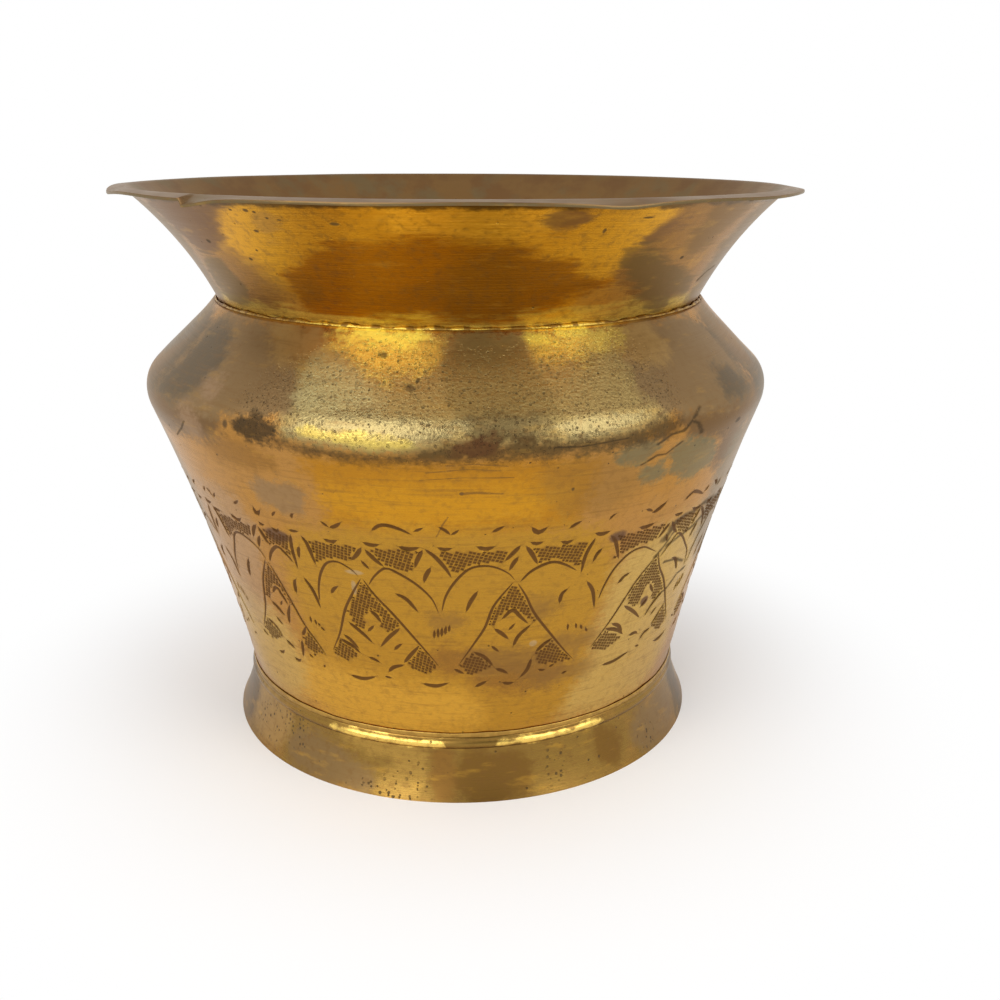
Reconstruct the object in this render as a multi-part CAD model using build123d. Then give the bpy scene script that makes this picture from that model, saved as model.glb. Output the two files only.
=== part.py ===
from build123d import *
from math import pi, radians, tan
import os

# Brass cachepot: a flared collar, a shouldered body, a base disc and a foot ring, all of sheet metal,
# sweated together with solder. Millimetres, +Z up. The origin is on the pot's axis, in the plane that
# the foot stands on.

# Outside diameters, and the step at the foot
RIM_DIAMETER = 240.0
COLLAR_TOP_DIAMETER = 228.4      # where the collar turns out into the lip
NECK_DIAMETER = 174.6            # edge of the body's opening
SHOULDER_DIAMETER = 227.8        # where shoulder and wall would meet if their turn were sharp
BASE_DIAMETER = 165.0            # bottom of the body's wall
FOOT_DIAMETER = 178.2            # edge that the pot stands on
FOOT_STEP = 0.7                  # how far the top of the foot stands out past the wall above it

# Heights, each measured from the level below it
FOOT_HEIGHT = 21.6
WALL_HEIGHT = 111.0
SHOULDER_HEIGHT = 25.8
COLLAR_HEIGHT = 37.9             # from the neck edge to the underside of the lip

# Sheet thicknesses
COLLAR_SHEET = 0.9
BODY_SHEET = 0.9
BASE_SHEET = 1.0
FOOT_SHEET = 1.0

# How far a run of sheet bows in from a straight line
COLLAR_BOW = 2.3
WALL_BOW = 2.4
SKIRT_BOW = 0.5

# Radii of the turns: the shoulder's on its outer face, the others inside the bend
SHOULDER_ROUNDING = 12.0
LIP_BEND = 1.0
NECK_BEND = 1.5
BASE_BEND = 0.6
FOOT_BEND = 0.5
LIP_EDGE_ROUNDING = 0.3

# Flanges, and the spigot by which the collar sits in the neck
SPIGOT_DEPTH = 5.0
BODY_FLANGE = 9.0
FOOT_FLANGE = 6.0

# Bead rolled into the top of the foot ring
BEAD_SETBACK = 0.2               # plain band between the top bend and the bead
BEAD_WIDTH = 2.8
BEAD_PROUD = 0.6

# Fits and solder
SOLDER_FILM = 0.1                # gap between spigot and neck edge
DISC_CLEARANCE = 0.2             # from the base disc to the bend of the body's flange
SEAT_CLEARANCE = 0.02            # from solder to the bends that it fills the groove between
NECK_BEAD = 0.5                  # height of the outer solder bead above the neck edge
NECK_FILLET = 2.0
FLOOR_FILLET = 2.5               # how far solder climbs the wall above the base disc
FOOT_FILLET = 1.5
GROOVE_FILLET = 2.2              # how far solder climbs the wall above the foot
DISC_BEVEL = 0.6                 # filed on the disc's top edge, for solder to run into

# Levels and radii that the pieces share
neck_level = FOOT_HEIGHT + WALL_HEIGHT + SHOULDER_HEIGHT
disc_level = FOOT_HEIGHT + BODY_SHEET
floor_level = disc_level + BASE_SHEET
base_radius = BASE_DIAMETER / 2
foot_top_radius = base_radius + FOOT_STEP
foot_flange_radius = foot_top_radius - FOOT_FLANGE
disc_radius = base_radius - BODY_SHEET - BASE_BEND - DISC_CLEARANCE


def left_of(direction):
    """Unit vector to the left of a direction in the profile plane."""
    return Vector(-direction.Y, direction.X).normalized()


def bend(path, corner, radius):
    """Round one corner of an open profile path."""
    return fillet(path.vertices().sort_by_distance(corner)[0], radius)


def sheet_profile(path, thickness):
    """Closed section of a sheet whose outer face follows the path; the metal lies on the path's left."""
    return make_face(offset(path, thickness, side=Side.LEFT))


def spin(profile):
    """Turn a section, drawn as (radius, height), once round the pot's axis."""
    return revolve(Plane.XZ * profile, Axis.Z)


def ring(*corners):
    """Ring with a straight-sided section."""
    return spin(make_face(Polyline(*corners, close=True)))


# Corners and runs of the outer faces, which other pieces are fitted to
base_corner = Vector(base_radius, FOOT_HEIGHT)
shoulder_corner = Vector(SHOULDER_DIAMETER / 2, FOOT_HEIGHT + WALL_HEIGHT)
neck_edge = Vector(NECK_DIAMETER / 2, neck_level)
foot_corner = Vector(foot_top_radius, FOOT_HEIGHT)
wall_run = SagittaArc(base_corner, shoulder_corner, WALL_BOW)
shoulder_run = Line(shoulder_corner, neck_edge)
neck_inner_edge = neck_edge + left_of(shoulder_run % 1) * BODY_SHEET
spigot_radius = neck_inner_edge.X - SOLDER_FILM


def on_wall(distance, depth=0):
    """Point at a distance up the wall from the base corner, at a depth below its outer face."""
    tangent = wall_run.tangent_at(distance, position_mode=PositionMode.LENGTH)
    return wall_run.position_at(distance, position_mode=PositionMode.LENGTH) + left_of(tangent) * depth


def chamfer_on_bend(turn, radius):
    """Distance from a corner at which a chamfer of it would just touch its bend, for a turn in radians."""
    return radius * (tan(turn / 2) - tan(turn / 4))


def make_body():
    flange_edge = base_corner - Vector(BODY_FLANGE, 0)
    path = Wire([Line(flange_edge, base_corner), wall_run, shoulder_run])
    path = bend(path, base_corner, BASE_BEND + BODY_SHEET)
    path = bend(path, shoulder_corner, SHOULDER_ROUNDING)
    return spin(sheet_profile(path, BODY_SHEET))


def make_flared_collar():
    spigot_end = Vector(spigot_radius, neck_inner_edge.Y - SPIGOT_DEPTH)
    spigot_top = Vector(spigot_radius, neck_level + NECK_BEAD + NECK_BEND / 2)
    lip_root = Vector(COLLAR_TOP_DIAMETER / 2, neck_level + COLLAR_HEIGHT)
    lip_edge = Vector(RIM_DIAMETER / 2, neck_level + COLLAR_HEIGHT)
    path = Wire([
        Line(spigot_end, spigot_top),
        SagittaArc(spigot_top, lip_root, COLLAR_BOW),
        Line(lip_root, lip_edge),
    ])
    path = bend(path, spigot_top, NECK_BEND)
    path = bend(path, lip_root, LIP_BEND)
    section = sheet_profile(path, COLLAR_SHEET)
    return spin(fillet(section.vertices().sort_by_distance(lip_edge)[0:2], LIP_EDGE_ROUNDING))


def make_base_disc():
    on_flange = (Align.CENTER, Align.CENTER, Align.MIN)
    disc = Pos(Z=disc_level) * Cylinder(disc_radius, BASE_SHEET, align=on_flange)
    return chamfer(disc.edges().group_by(Axis.Z)[-1], DISC_BEVEL)


def make_foot_ring():
    stand = Vector(FOOT_DIAMETER / 2, 0)
    bead_top = foot_corner - Vector(0, FOOT_BEND + FOOT_SHEET + BEAD_SETBACK)
    bead_foot = bead_top - Vector(0, BEAD_WIDTH)
    flange_edge = Vector(foot_flange_radius, FOOT_HEIGHT)
    skirt = SagittaArc(stand, bead_foot, SKIRT_BOW)
    path = Wire([
        Line(stand - (skirt % 0) * FOOT_SHEET, stand),
        skirt,
        SagittaArc(bead_foot, bead_top, -BEAD_PROUD),
        Line(bead_top, foot_corner),
        Line(foot_corner, flange_edge),
    ])
    path = bend(path, foot_corner, FOOT_BEND + FOOT_SHEET)
    section = sheet_profile(path, FOOT_SHEET)
    ground_off = Rectangle(FOOT_DIAMETER, FOOT_HEIGHT, align=(Align.MIN, Align.MAX))
    return spin(section - Pos(foot_flange_radius) * ground_off)


def make_neck_solder_outer():
    return ring(
        (spigot_radius, neck_inner_edge.Y),
        neck_inner_edge,
        neck_edge,
        (spigot_radius, neck_level + NECK_BEAD),
    )


def make_neck_solder_inner():
    return ring(
        (spigot_radius, neck_inner_edge.Y),
        (spigot_radius, neck_inner_edge.Y - NECK_FILLET),
        neck_inner_edge - (shoulder_run % 1) * NECK_FILLET,
        neck_inner_edge,
    )


def make_floor_solder(body):
    above_bend = BODY_SHEET + BASE_SHEET + BASE_BEND
    mid_sheet = BODY_SHEET / 2
    fillet_ring = ring(
        (disc_radius - DISC_BEVEL, floor_level),
        (disc_radius, floor_level - DISC_BEVEL),
        on_wall(above_bend, mid_sheet),
        on_wall(above_bend + FLOOR_FILLET, mid_sheet),
    )
    return fillet_ring - body


def make_foot_solder_outer():
    wall_turn = radians((wall_run % 0).get_angle(Vector(1, 0)))
    base_cut = chamfer_on_bend(wall_turn, BASE_BEND + BODY_SHEET) - SEAT_CLEARANCE
    foot_cut = chamfer_on_bend(pi / 2, FOOT_BEND + FOOT_SHEET) - SEAT_CLEARANCE
    return ring(
        base_corner - Vector(base_cut, 0),
        foot_corner - Vector(foot_cut, 0),
        foot_corner - Vector(0, foot_cut),
        on_wall(GROOVE_FILLET),
        on_wall(base_cut),
    )


def make_foot_solder_inner():
    return ring(
        (foot_flange_radius, FOOT_HEIGHT),
        (foot_flange_radius, FOOT_HEIGHT - FOOT_SHEET),
        (foot_flange_radius - FOOT_FILLET, FOOT_HEIGHT),
    )


body = make_body()
nodes = {
    "flared_collar": make_flared_collar(),
    "body": body,
    "base_disc": make_base_disc(),
    "foot_ring": make_foot_ring(),
    "neck_solder_outer": make_neck_solder_outer(),
    "neck_solder_inner": make_neck_solder_inner(),
    "floor_solder": make_floor_solder(body),
    "foot_solder_outer": make_foot_solder_outer(),
    "foot_solder_inner": make_foot_solder_inner(),
}

os.makedirs("parts", exist_ok=True)
for name, solid in nodes.items():
    export_step(solid, f"parts/{name}.step")
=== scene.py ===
import math
import random
from math import radians

import bmesh
import bpy
import numpy as np
from mathutils import Euler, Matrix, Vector
from mathutils.geometry import delaunay_2d_cdt


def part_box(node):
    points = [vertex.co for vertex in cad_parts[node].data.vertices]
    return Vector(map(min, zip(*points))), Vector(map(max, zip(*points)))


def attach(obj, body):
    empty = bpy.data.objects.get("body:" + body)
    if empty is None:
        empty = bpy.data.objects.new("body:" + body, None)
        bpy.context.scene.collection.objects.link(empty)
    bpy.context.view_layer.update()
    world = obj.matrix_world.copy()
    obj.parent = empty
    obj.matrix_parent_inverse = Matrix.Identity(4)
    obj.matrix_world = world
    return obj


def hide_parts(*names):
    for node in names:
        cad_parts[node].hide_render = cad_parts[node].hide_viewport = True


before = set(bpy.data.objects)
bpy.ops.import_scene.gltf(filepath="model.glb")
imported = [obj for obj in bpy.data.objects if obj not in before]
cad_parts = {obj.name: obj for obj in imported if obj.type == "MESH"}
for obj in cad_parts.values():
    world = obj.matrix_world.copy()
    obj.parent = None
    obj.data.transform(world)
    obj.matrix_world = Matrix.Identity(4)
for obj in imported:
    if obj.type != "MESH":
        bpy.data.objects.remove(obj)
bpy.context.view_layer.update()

# Looks of the brass cachepot. Lengths are in millimetres until a mesh is written, which is in metres.
# Angles are in degrees round the axis: 0 faces the camera (-Y) and 90 is +X, on the right of the picture.
# A profile is a list of (radius, height) points whose outer face lies on the right of its direction.

MM = 0.001


def high(node):
    """Highest corner of a CAD node, in millimetres."""
    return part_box(node)[1] / MM


def low(node):
    """Lowest corner of a CAD node, in millimetres."""
    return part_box(node)[0] / MM


# Sizes that come from the frame
RIM_RADIUS = high("flared_collar").x
RIM_TOP = high("flared_collar").z
SPIGOT_END = low("flared_collar").z
NECK_RADIUS = high("neck_solder_outer").x
NECK_LEVEL = high("body").z
FOOT_HEIGHT = high("foot_ring").z
FOOT_RADIUS = high("foot_ring").x
DISC_RADIUS = high("base_disc").x
DISC_LEVEL = low("base_disc").z
FLOOR_LEVEL = high("base_disc").z

# Sizes that the frame's boxes don't show, as in the solids
SHEET = 0.9
FOOT_SHEET = 1.0
SPIGOT_RADIUS = 86.57
COLLAR_TOP_RADIUS = 114.2
COLLAR_BOW = 2.3
SHOULDER_RADIUS = 113.9
SHOULDER_LEVEL = 132.6
WALL_BOW = 2.4
BASE_RADIUS = 82.5
BODY_FLANGE = 9.0
FOOT_TOP_RADIUS = 83.2
FOOT_FLANGE = 6.0
SKIRT_BOW = 0.5
BEAD_TOP = 19.9
BEAD_FOOT = 17.1
BEAD_PROUD = 0.6
SPIGOT_RISE = 1.25
DISC_BEVEL = 0.6

# What the looks alone have: a flare at the body's neck, and a lip whose faces stop short of its edge
NECK_FLARE = 0.7
NECK_FLARE_LENGTH = 9.0
LIP_EDGE_BACK = 0.1

# How far from its corner each bend of the sheet starts
BASE_BEND = 1.2
SHOULDER_BEND = 7.5
NECK_BEND = 0.5
LIP_BEND = 1.0
FOOT_BEND = 1.4

# Columns of the meshes round the pot, and their rows along the profiles
BODY_COLUMNS = 360
BODY_UPPER_ROWS = 56
BODY_INNER_ROWS = 40
BODY_LOWER_ROWS = 16
COLLAR_COLUMNS = 720
COLLAR_OUTER_ROWS = 64
COLLAR_INNER_ROWS = 52
FOOT_COLUMNS = 480
FOOT_OUTER_ROWS = 72
FOOT_INNER_ROWS = 48
DISC_COLUMNS = 240
DISC_TOP_ROWS = 90
DISC_BOTTOM_ROWS = 60

# The band of chasing, between two levels of the wall
BAND_TOP = 107.0
BAND_BOTTOM = 39.0
BAND_RADIUS = 98.0
STROKE_HALF_WIDTH = 0.82
STROKE_DEPTH = 0.55
BURR_WIDTH = 0.45
BURR_HEIGHT = 0.12
PIT_DEPTH = 0.5
GROUND_SUNK = 0.1
GROUND_SWELL = 1.07
PUNCH_ACROSS = 1.2
PUNCH_UP = 1.05
PUNCH_HALF = 0.44
PUNCH_SHAKE = 0.1
PUNCH_CLEAR = 0.2
FILL_SPACING = 2.2
SEAM_CLEAR = 2.0
STROKE_BLUNT = 0.2
STROKE_FULLNESS = (3.5, 0.8), (6, 1.15), (12, 1.1), (30, 0.8)     # by the stroke's length
PUNCH_SLANT = -0.5, -0.25
PUNCH_LEAN = 0.2, 0.45
LOOSE_ANGLE = 0.25
LOOSE_HEIGHT = 0.5

# How far outside a patch its edge is still felt
PATCH_REACH = 12.0

# How freely each sheet wobbles, as (height, share) steps: its joints and the floor hold it elsewhere
BODY_FREE = (22, 0), (32, 1), (148, 1), (158, 0.4)
COLLAR_FREE = (158, 0), (172, 1)
FOOT_FREE = (0, 0), (6, 1), (20, 1), (21.6, 0.5)
FOOT_DRAWN_IN = 0.15
WAVE_CLIMB = 0.09

# How far the pot leans to +X, as (height, distance) steps
SWAY = (0, 0.6), (21, 0.5), (60, 0.1), (100, -0.3), (142, -0.8), (158, 0.0)

# Edges sharper than this, in degrees, stay crisp; points nearer than this, in metres, are welded
CRISP = 50
BAND_CRISP = 75
BODY_WELD = 2e-6
DISC_WELD = 1e-6


# Profiles

def bowed(start, end, bow, count=240):
    """Shallow bowed run from start to end; its middle lies bow to the left."""
    start, end = np.array(start, float), np.array(end, float)
    share = np.linspace(0, 1, count)[:, None]
    chord = end - start
    left = np.array([-chord[1], chord[0]]) / np.linalg.norm(chord)
    return start + chord * share + left * (4 * bow * share * (1 - share))


def straight(start, end, count=120):
    return bowed(start, end, 0, count)


def unit(vector):
    return vector / np.linalg.norm(vector)


def lengths(path):
    """Distance along a path at each of its points."""
    return np.concatenate([[0], np.cumsum(np.linalg.norm(np.diff(path, axis=0), axis=1))])


def along(path, distance):
    """Points of a path at distances along it."""
    at = lengths(path)
    return np.stack([np.interp(distance, at, path[:, k]) for k in (0, 1)], -1)


def bent(before, after, reach, count=40):
    """Two runs that meet at a corner, joined by a smooth bend that starts and ends reach from it."""
    whole = lengths(before)[-1]
    before = np.concatenate([before[lengths(before) < whole - reach], along(before, [whole - reach])])
    after = np.concatenate([along(after, [reach]), after[lengths(after) > reach]])
    leave = unit(before[-1] - before[-2])
    arrive = unit(after[1] - after[0])
    turn = math.acos(max(-1.0, min(1.0, float(leave @ arrive))))
    handle = reach / math.tan(turn / 2) * math.tan(turn / 4) * 4 / 3
    knots = before[-1], before[-1] + leave * handle, after[0] - arrive * handle, after[0]
    t = np.linspace(0, 1, count)[1:-1, None]
    weights = (1 - t) ** 3, 3 * t * (1 - t) ** 2, 3 * t ** 2 * (1 - t), t ** 3
    return np.concatenate([before, sum(w * k for w, k in zip(weights, knots)), after])


def outward(path):
    """Unit normals on the right of a path."""
    step = np.gradient(path, axis=0)
    step /= np.linalg.norm(step, axis=1)[:, None]
    return np.stack([step[:, 1], -step[:, 0]], -1)


def pushed(path, distance):
    """A path moved to its right."""
    return path + outward(path) * distance


def spread(path, count, bend_weight=6.0):
    """Points along a path, closer together in its bends."""
    normal = outward(path)
    turning = np.concatenate([[0], np.cumsum(np.linalg.norm(np.diff(normal, axis=0), axis=1))])
    measure = lengths(path) + bend_weight * turning
    at = np.interp(np.linspace(0, measure[-1], count), measure, lengths(path))
    return along(path, at)


def body_path():
    """Outer face of the body, from the inner edge of its bottom flange up to the edge of the neck."""
    base = (BASE_RADIUS, FOOT_HEIGHT)
    shoulder = (SHOULDER_RADIUS, SHOULDER_LEVEL)
    flange = straight((BASE_RADIUS - BODY_FLANGE, FOOT_HEIGHT), base)
    wall = bowed(base, shoulder, WALL_BOW, 900)
    cone = straight(shoulder, (NECK_RADIUS, NECK_LEVEL), 300)
    from_flare = np.clip(lengths(cone) - lengths(cone)[-1] + NECK_FLARE_LENGTH, 0, None)
    cone = cone + outward(cone) * (NECK_FLARE * (from_flare / NECK_FLARE_LENGTH) ** 2)[:, None]
    return bent(bent(flange, wall, BASE_BEND), cone, SHOULDER_BEND, 120)


def collar_path():
    """Outer face of the collar, from the end of its spigot to the edge of the lip's underside."""
    spigot_top = (SPIGOT_RADIUS, NECK_LEVEL + SPIGOT_RISE)
    root = (COLLAR_TOP_RADIUS, RIM_TOP - SHEET)
    spigot = straight((SPIGOT_RADIUS, SPIGOT_END), spigot_top)
    flare = bowed(spigot_top, root, COLLAR_BOW, 400)
    lip = straight(root, (RIM_RADIUS - LIP_EDGE_BACK, RIM_TOP - SHEET))
    return bent(bent(spigot, flare, NECK_BEND), lip, LIP_BEND)


def foot_path():
    """Outer face of the foot, from the edge that it stands on to the inner edge of its top flange."""
    bead_foot = (FOOT_TOP_RADIUS, BEAD_FOOT)
    bead_top = (FOOT_TOP_RADIUS, BEAD_TOP)
    corner = (FOOT_TOP_RADIUS, FOOT_HEIGHT)
    skirt = bowed((FOOT_RADIUS, 0), bead_foot, SKIRT_BOW, 240)
    bead = bowed(bead_foot, bead_top, -BEAD_PROUD, 60)
    side = np.concatenate([skirt, bead[1:], straight(bead_top, corner, 20)[1:]])
    top = straight(corner, (FOOT_TOP_RADIUS - FOOT_FLANGE, FOOT_HEIGHT))
    return bent(side, top, FOOT_BEND)


# Hand-made unevenness

def graded(place, steps):
    """Value at a place, between (place, value) steps."""
    return np.interp(place, *zip(*steps))


def waves(angle, height, seed, amount, longest=3, count=9):
    """Gentle unevenness of hand-raised sheet: a few sine waves round the pot and up it."""
    draw = random.Random(seed)
    total = np.zeros_like(angle)
    for _ in range(count):
        turns = draw.randint(longest, longest + 9)
        climb = draw.uniform(-WAVE_CLIMB, WAVE_CLIMB)
        phase = draw.uniform(0, 2 * math.pi)
        total += np.sin(np.radians(angle) * turns + height * climb + phase)
    return amount * total / math.sqrt(count)


def apart(angle, centre):
    """Angle from a centre, by the shorter way round."""
    return (angle - centre + 180) % 360 - 180


def dimple(angle, height, centre, level, half_angle, half_height):
    """Smooth dent mask, 1 in its middle."""
    return np.exp(-(apart(angle, centre) / half_angle) ** 2 - ((height - level) / half_height) ** 2)


def sway(height):
    """How far the pot leans to +X at a height: its foot and shoulder aren't quite in line."""
    return graded(height, SWAY)


# Mesh building

def placed(angle, radius, height):
    """Points of the pot, in metres, from angle, radius and height in millimetres."""
    turn = np.radians(angle)
    x = radius * np.sin(turn) + sway(height)
    return np.stack([x, -radius * np.cos(turn), height], -1) * MM


def spun(rows, columns):
    """Angle, radius, height and row number of each point of a profile that is spun round the pot."""
    angle, row = np.meshgrid(np.arange(columns) * 360 / columns - 180, np.arange(len(rows)))
    radius, height = rows[row.ravel()].T
    return angle.ravel(), radius, height, row.ravel()


def strip_faces(rows, columns, first=0, closed=False):
    """Quads of a grid that goes round the pot, numbered row by row."""
    faces = []
    for i in range(rows if closed else rows - 1):
        here, above = first + i * columns, first + (i + 1) % rows * columns
        for j in range(columns):
            onward = (j + 1) % columns
            faces.append((here + j, here + onward, above + onward, above + j))
    return faces


def make_mesh(name, points, faces):
    """Smooth-shaded object from points in metres, with edges kept crisp past an angle."""
    mesh = bpy.data.meshes.new(name)
    mesh.from_pydata(points.tolist(), [], faces)
    mesh.shade_smooth()
    mesh.set_sharp_from_angle(angle=radians(CRISP))
    piece = bpy.data.objects.new(name, mesh)
    bpy.context.scene.collection.objects.link(piece)
    return piece


def turned(name, loop, columns, dent, outer_rows=None):
    """A closed profile turned round the axis; dent gives each point's push in radius and in height.

    Rows past outer_rows lie inside the pot, which the "inside" attribute tells the material.
    """
    angle, radius, height, row = spun(loop, columns)
    out, up = dent(angle, radius, height)
    points = placed(angle, radius + out, height + up)
    piece = make_mesh(name, points, strip_faces(len(loop), columns, closed=True))
    if outer_rows is not None:
        tell(piece, "inside", (row >= outer_rows).astype(float))
    return piece


def tell(piece, name, values):
    """Store a number at each vertex, for the material."""
    layer = piece.data.attributes.new(name, "FLOAT", "POINT")
    layer.data.foreach_set("value", values)


def patch_depth(spots, outline):
    """How deep each spot lies in a closed outline, in millimetres; less than nothing outside it."""
    depth = np.full(len(spots), -PATCH_REACH)
    near = np.all((spots > outline.min(0) - PATCH_REACH) & (spots < outline.max(0) + PATCH_REACH), axis=1)
    ring = np.concatenate([outline, outline[:1]])
    gap, _ = edge_gap(spots[near], ring, np.zeros(len(ring)))
    depth[near] = np.where(inside(spots[near], outline), gap, -np.minimum(gap, PATCH_REACH))
    return depth


def tell_depth(piece, name, outlines):
    """Store at each vertex how deep it lies in a group of patches."""
    places = np.zeros(len(piece.data.vertices) * 3)
    piece.data.vertices.foreach_get("co", places)
    x, y, z = places.reshape(-1, 3).T / MM
    spots = np.stack([np.arctan2(x, -y) * BAND_RADIUS, z], -1)
    depth = np.full(len(spots), -PATCH_REACH)
    for outline in outlines:
        drawn = rounded([(radians(angle) * BAND_RADIUS, height) for angle, height in outline])
        depth = np.maximum(depth, patch_depth(spots, drawn))
    tell(piece, name, depth)


def tell_patches(piece, groups):
    """Store the depth in each group of patches under the group's number."""
    for k, group in enumerate(groups):
        tell_depth(piece, f"patch_{k}", group[-1])


def finished(piece, node, material):
    """A piece that stands for a CAD node, with its material."""
    piece.data.materials.append(material)
    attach(piece, "root")
    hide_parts(node)
    return piece


# The chased band. Points are (angle, height) as drawn on the two cells of the ornament that face the camera;
# a cell goes from one valley between the petals to the next, with the tip of a triangle between them.

LEFT_STROKES = (
    # Legs of the big triangle
    ((-16.4, 83), (-19.4, 75), (-21.4, 69), (-23.6, 60), (-26.6, 51.5)),
    ((-16.2, 83), (-14.2, 77), (-11, 70), (-7, 60.5), (-2.8, 50.5)),
    # Petals and their dashes
    ((-26.8, 71), (-26.2, 76.5), (-24.8, 82.5), (-22.8, 87), (-20.5, 88), (-18.2, 86), (-16.8, 83.5)),
    ((-15.2, 80.5), (-13.6, 84.5), (-11.3, 87.6), (-8.6, 85.6), (-5.8, 82), (-3.4, 77), (-2.2, 71.2)),
    ((-23.6, 75.2), (-22.6, 77.4), (-21.6, 78.6)),
    ((-10.2, 78.4), (-8.2, 76.5), (-6.2, 71.8)),
    # Small leaf and open V inside the triangle
    ((-15.9, 70.9), (-14.8, 69.5), (-13.8, 66.5)),
    ((-17.1, 62.3), (-15.4, 65.2)),
    ((-21, 65), (-18.4, 61.5), (-16.4, 58)),
    ((-10.2, 65), (-12.6, 61.2), (-14.8, 56.8)),
    ((-22.8, 59.5), (-21.4, 57.8), (-19.8, 54.6)),
    ((-12, 56), (-11, 57.8), (-10, 59)),
    # Corners of the triangle and the cup below it
    ((-10.2, 51.2), (-8.4, 55), (-6.6, 58.6)),
    ((-24, 57.5), (-21.6, 55.8), (-19.6, 53)),
    ((-18, 52), (-16.6, 51.3), (-15.4, 50.2)),
    ((-13.9, 46.8), (-12.6, 49), (-10.2, 50.4)),
    ((-15, 44.9), (-13.2, 44.4)),
    # Comb under the right valley
    ((-3.5, 61.5), (-3.3, 65.2)),
    ((-2.7, 61.8), (-2.6, 65.8)),
    ((-2, 62.2), (-1.8, 66.2)),
    ((-1.3, 63), (-1, 66.8)),
    ((-0.5, 64), (-0.3, 67.2)),
    # Pointed leaves over the tip and over the right valley
    ((-15.2, 94.6), (-16.2, 92), (-17.6, 89.3)),
    ((-14.6, 94), (-13.2, 90.8), (-11.6, 88.2)),
    ((-15.8, 89.8), (-14.4, 86.6)),
    ((-4.4, 95), (-5.4, 91.5), (-6, 88.5)),
    ((-4, 95.5), (-2.2, 92.5), (-0.6, 88.5), (0.4, 85)),
    ((-3.2, 88.8), (-4.2, 85.5), (-4.6, 83)),
    # Crescents and birds above, scallops below
    ((-22.3, 96), (-20.9, 95.3), (-19.5, 96.2)),
    ((-14.8, 96.6), (-13.2, 95.8), (-11.7, 96.3)),
    ((-8.5, 96), (-6.7, 95.2), (-4.8, 96)),
    ((-22, 102.5), (-21.1, 101.3), (-20.5, 100.4)),
    ((-20.5, 100.4), (-19.2, 101.4), (-18, 103)),
    ((-12.8, 101), (-11.4, 103), (-10, 103.4), (-8, 102.4), (-6, 100.5)),
    ((-5.7, 101.5), (-3.8, 103.2)),
    ((-23.2, 43), (-20.2, 42.5), (-17, 44.2)),
    ((-6.6, 43.2), (-3.8, 42.5), (-1, 43.9)),
)
LEFT_GROUNDS = (
    ((-16.3, 82), (-14.6, 77), (-11.8, 70.5), (-10.4, 66.2), (-12.8, 62.6), (-14, 65.5), (-14.3, 68.6),
     (-16, 71.9), (-17.2, 67.8), (-17.6, 64), (-19.6, 64.6), (-20.4, 69.5), (-18.8, 75.5)),
    ((-9.8, 51.4), (-6.6, 57.8), (-3.2, 50.6), (-5.2, 47.6), (-7.6, 48.8)),
    ((-26.2, 51.4), (-24, 56.8), (-20.2, 52.6), (-23.4, 48.8)),
    ((-26.2, 94.2), (-17, 94.2), (-16.8, 91.8), (-18.2, 89.4), (-21, 89.2), (-23.4, 88.4), (-25.2, 86.5)),
    ((-13.4, 94.2), (-5.2, 94.2), (-6.8, 88), (-7.6, 86.6), (-9.4, 87.6), (-11, 89.2), (-12.4, 91)),
)
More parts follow.
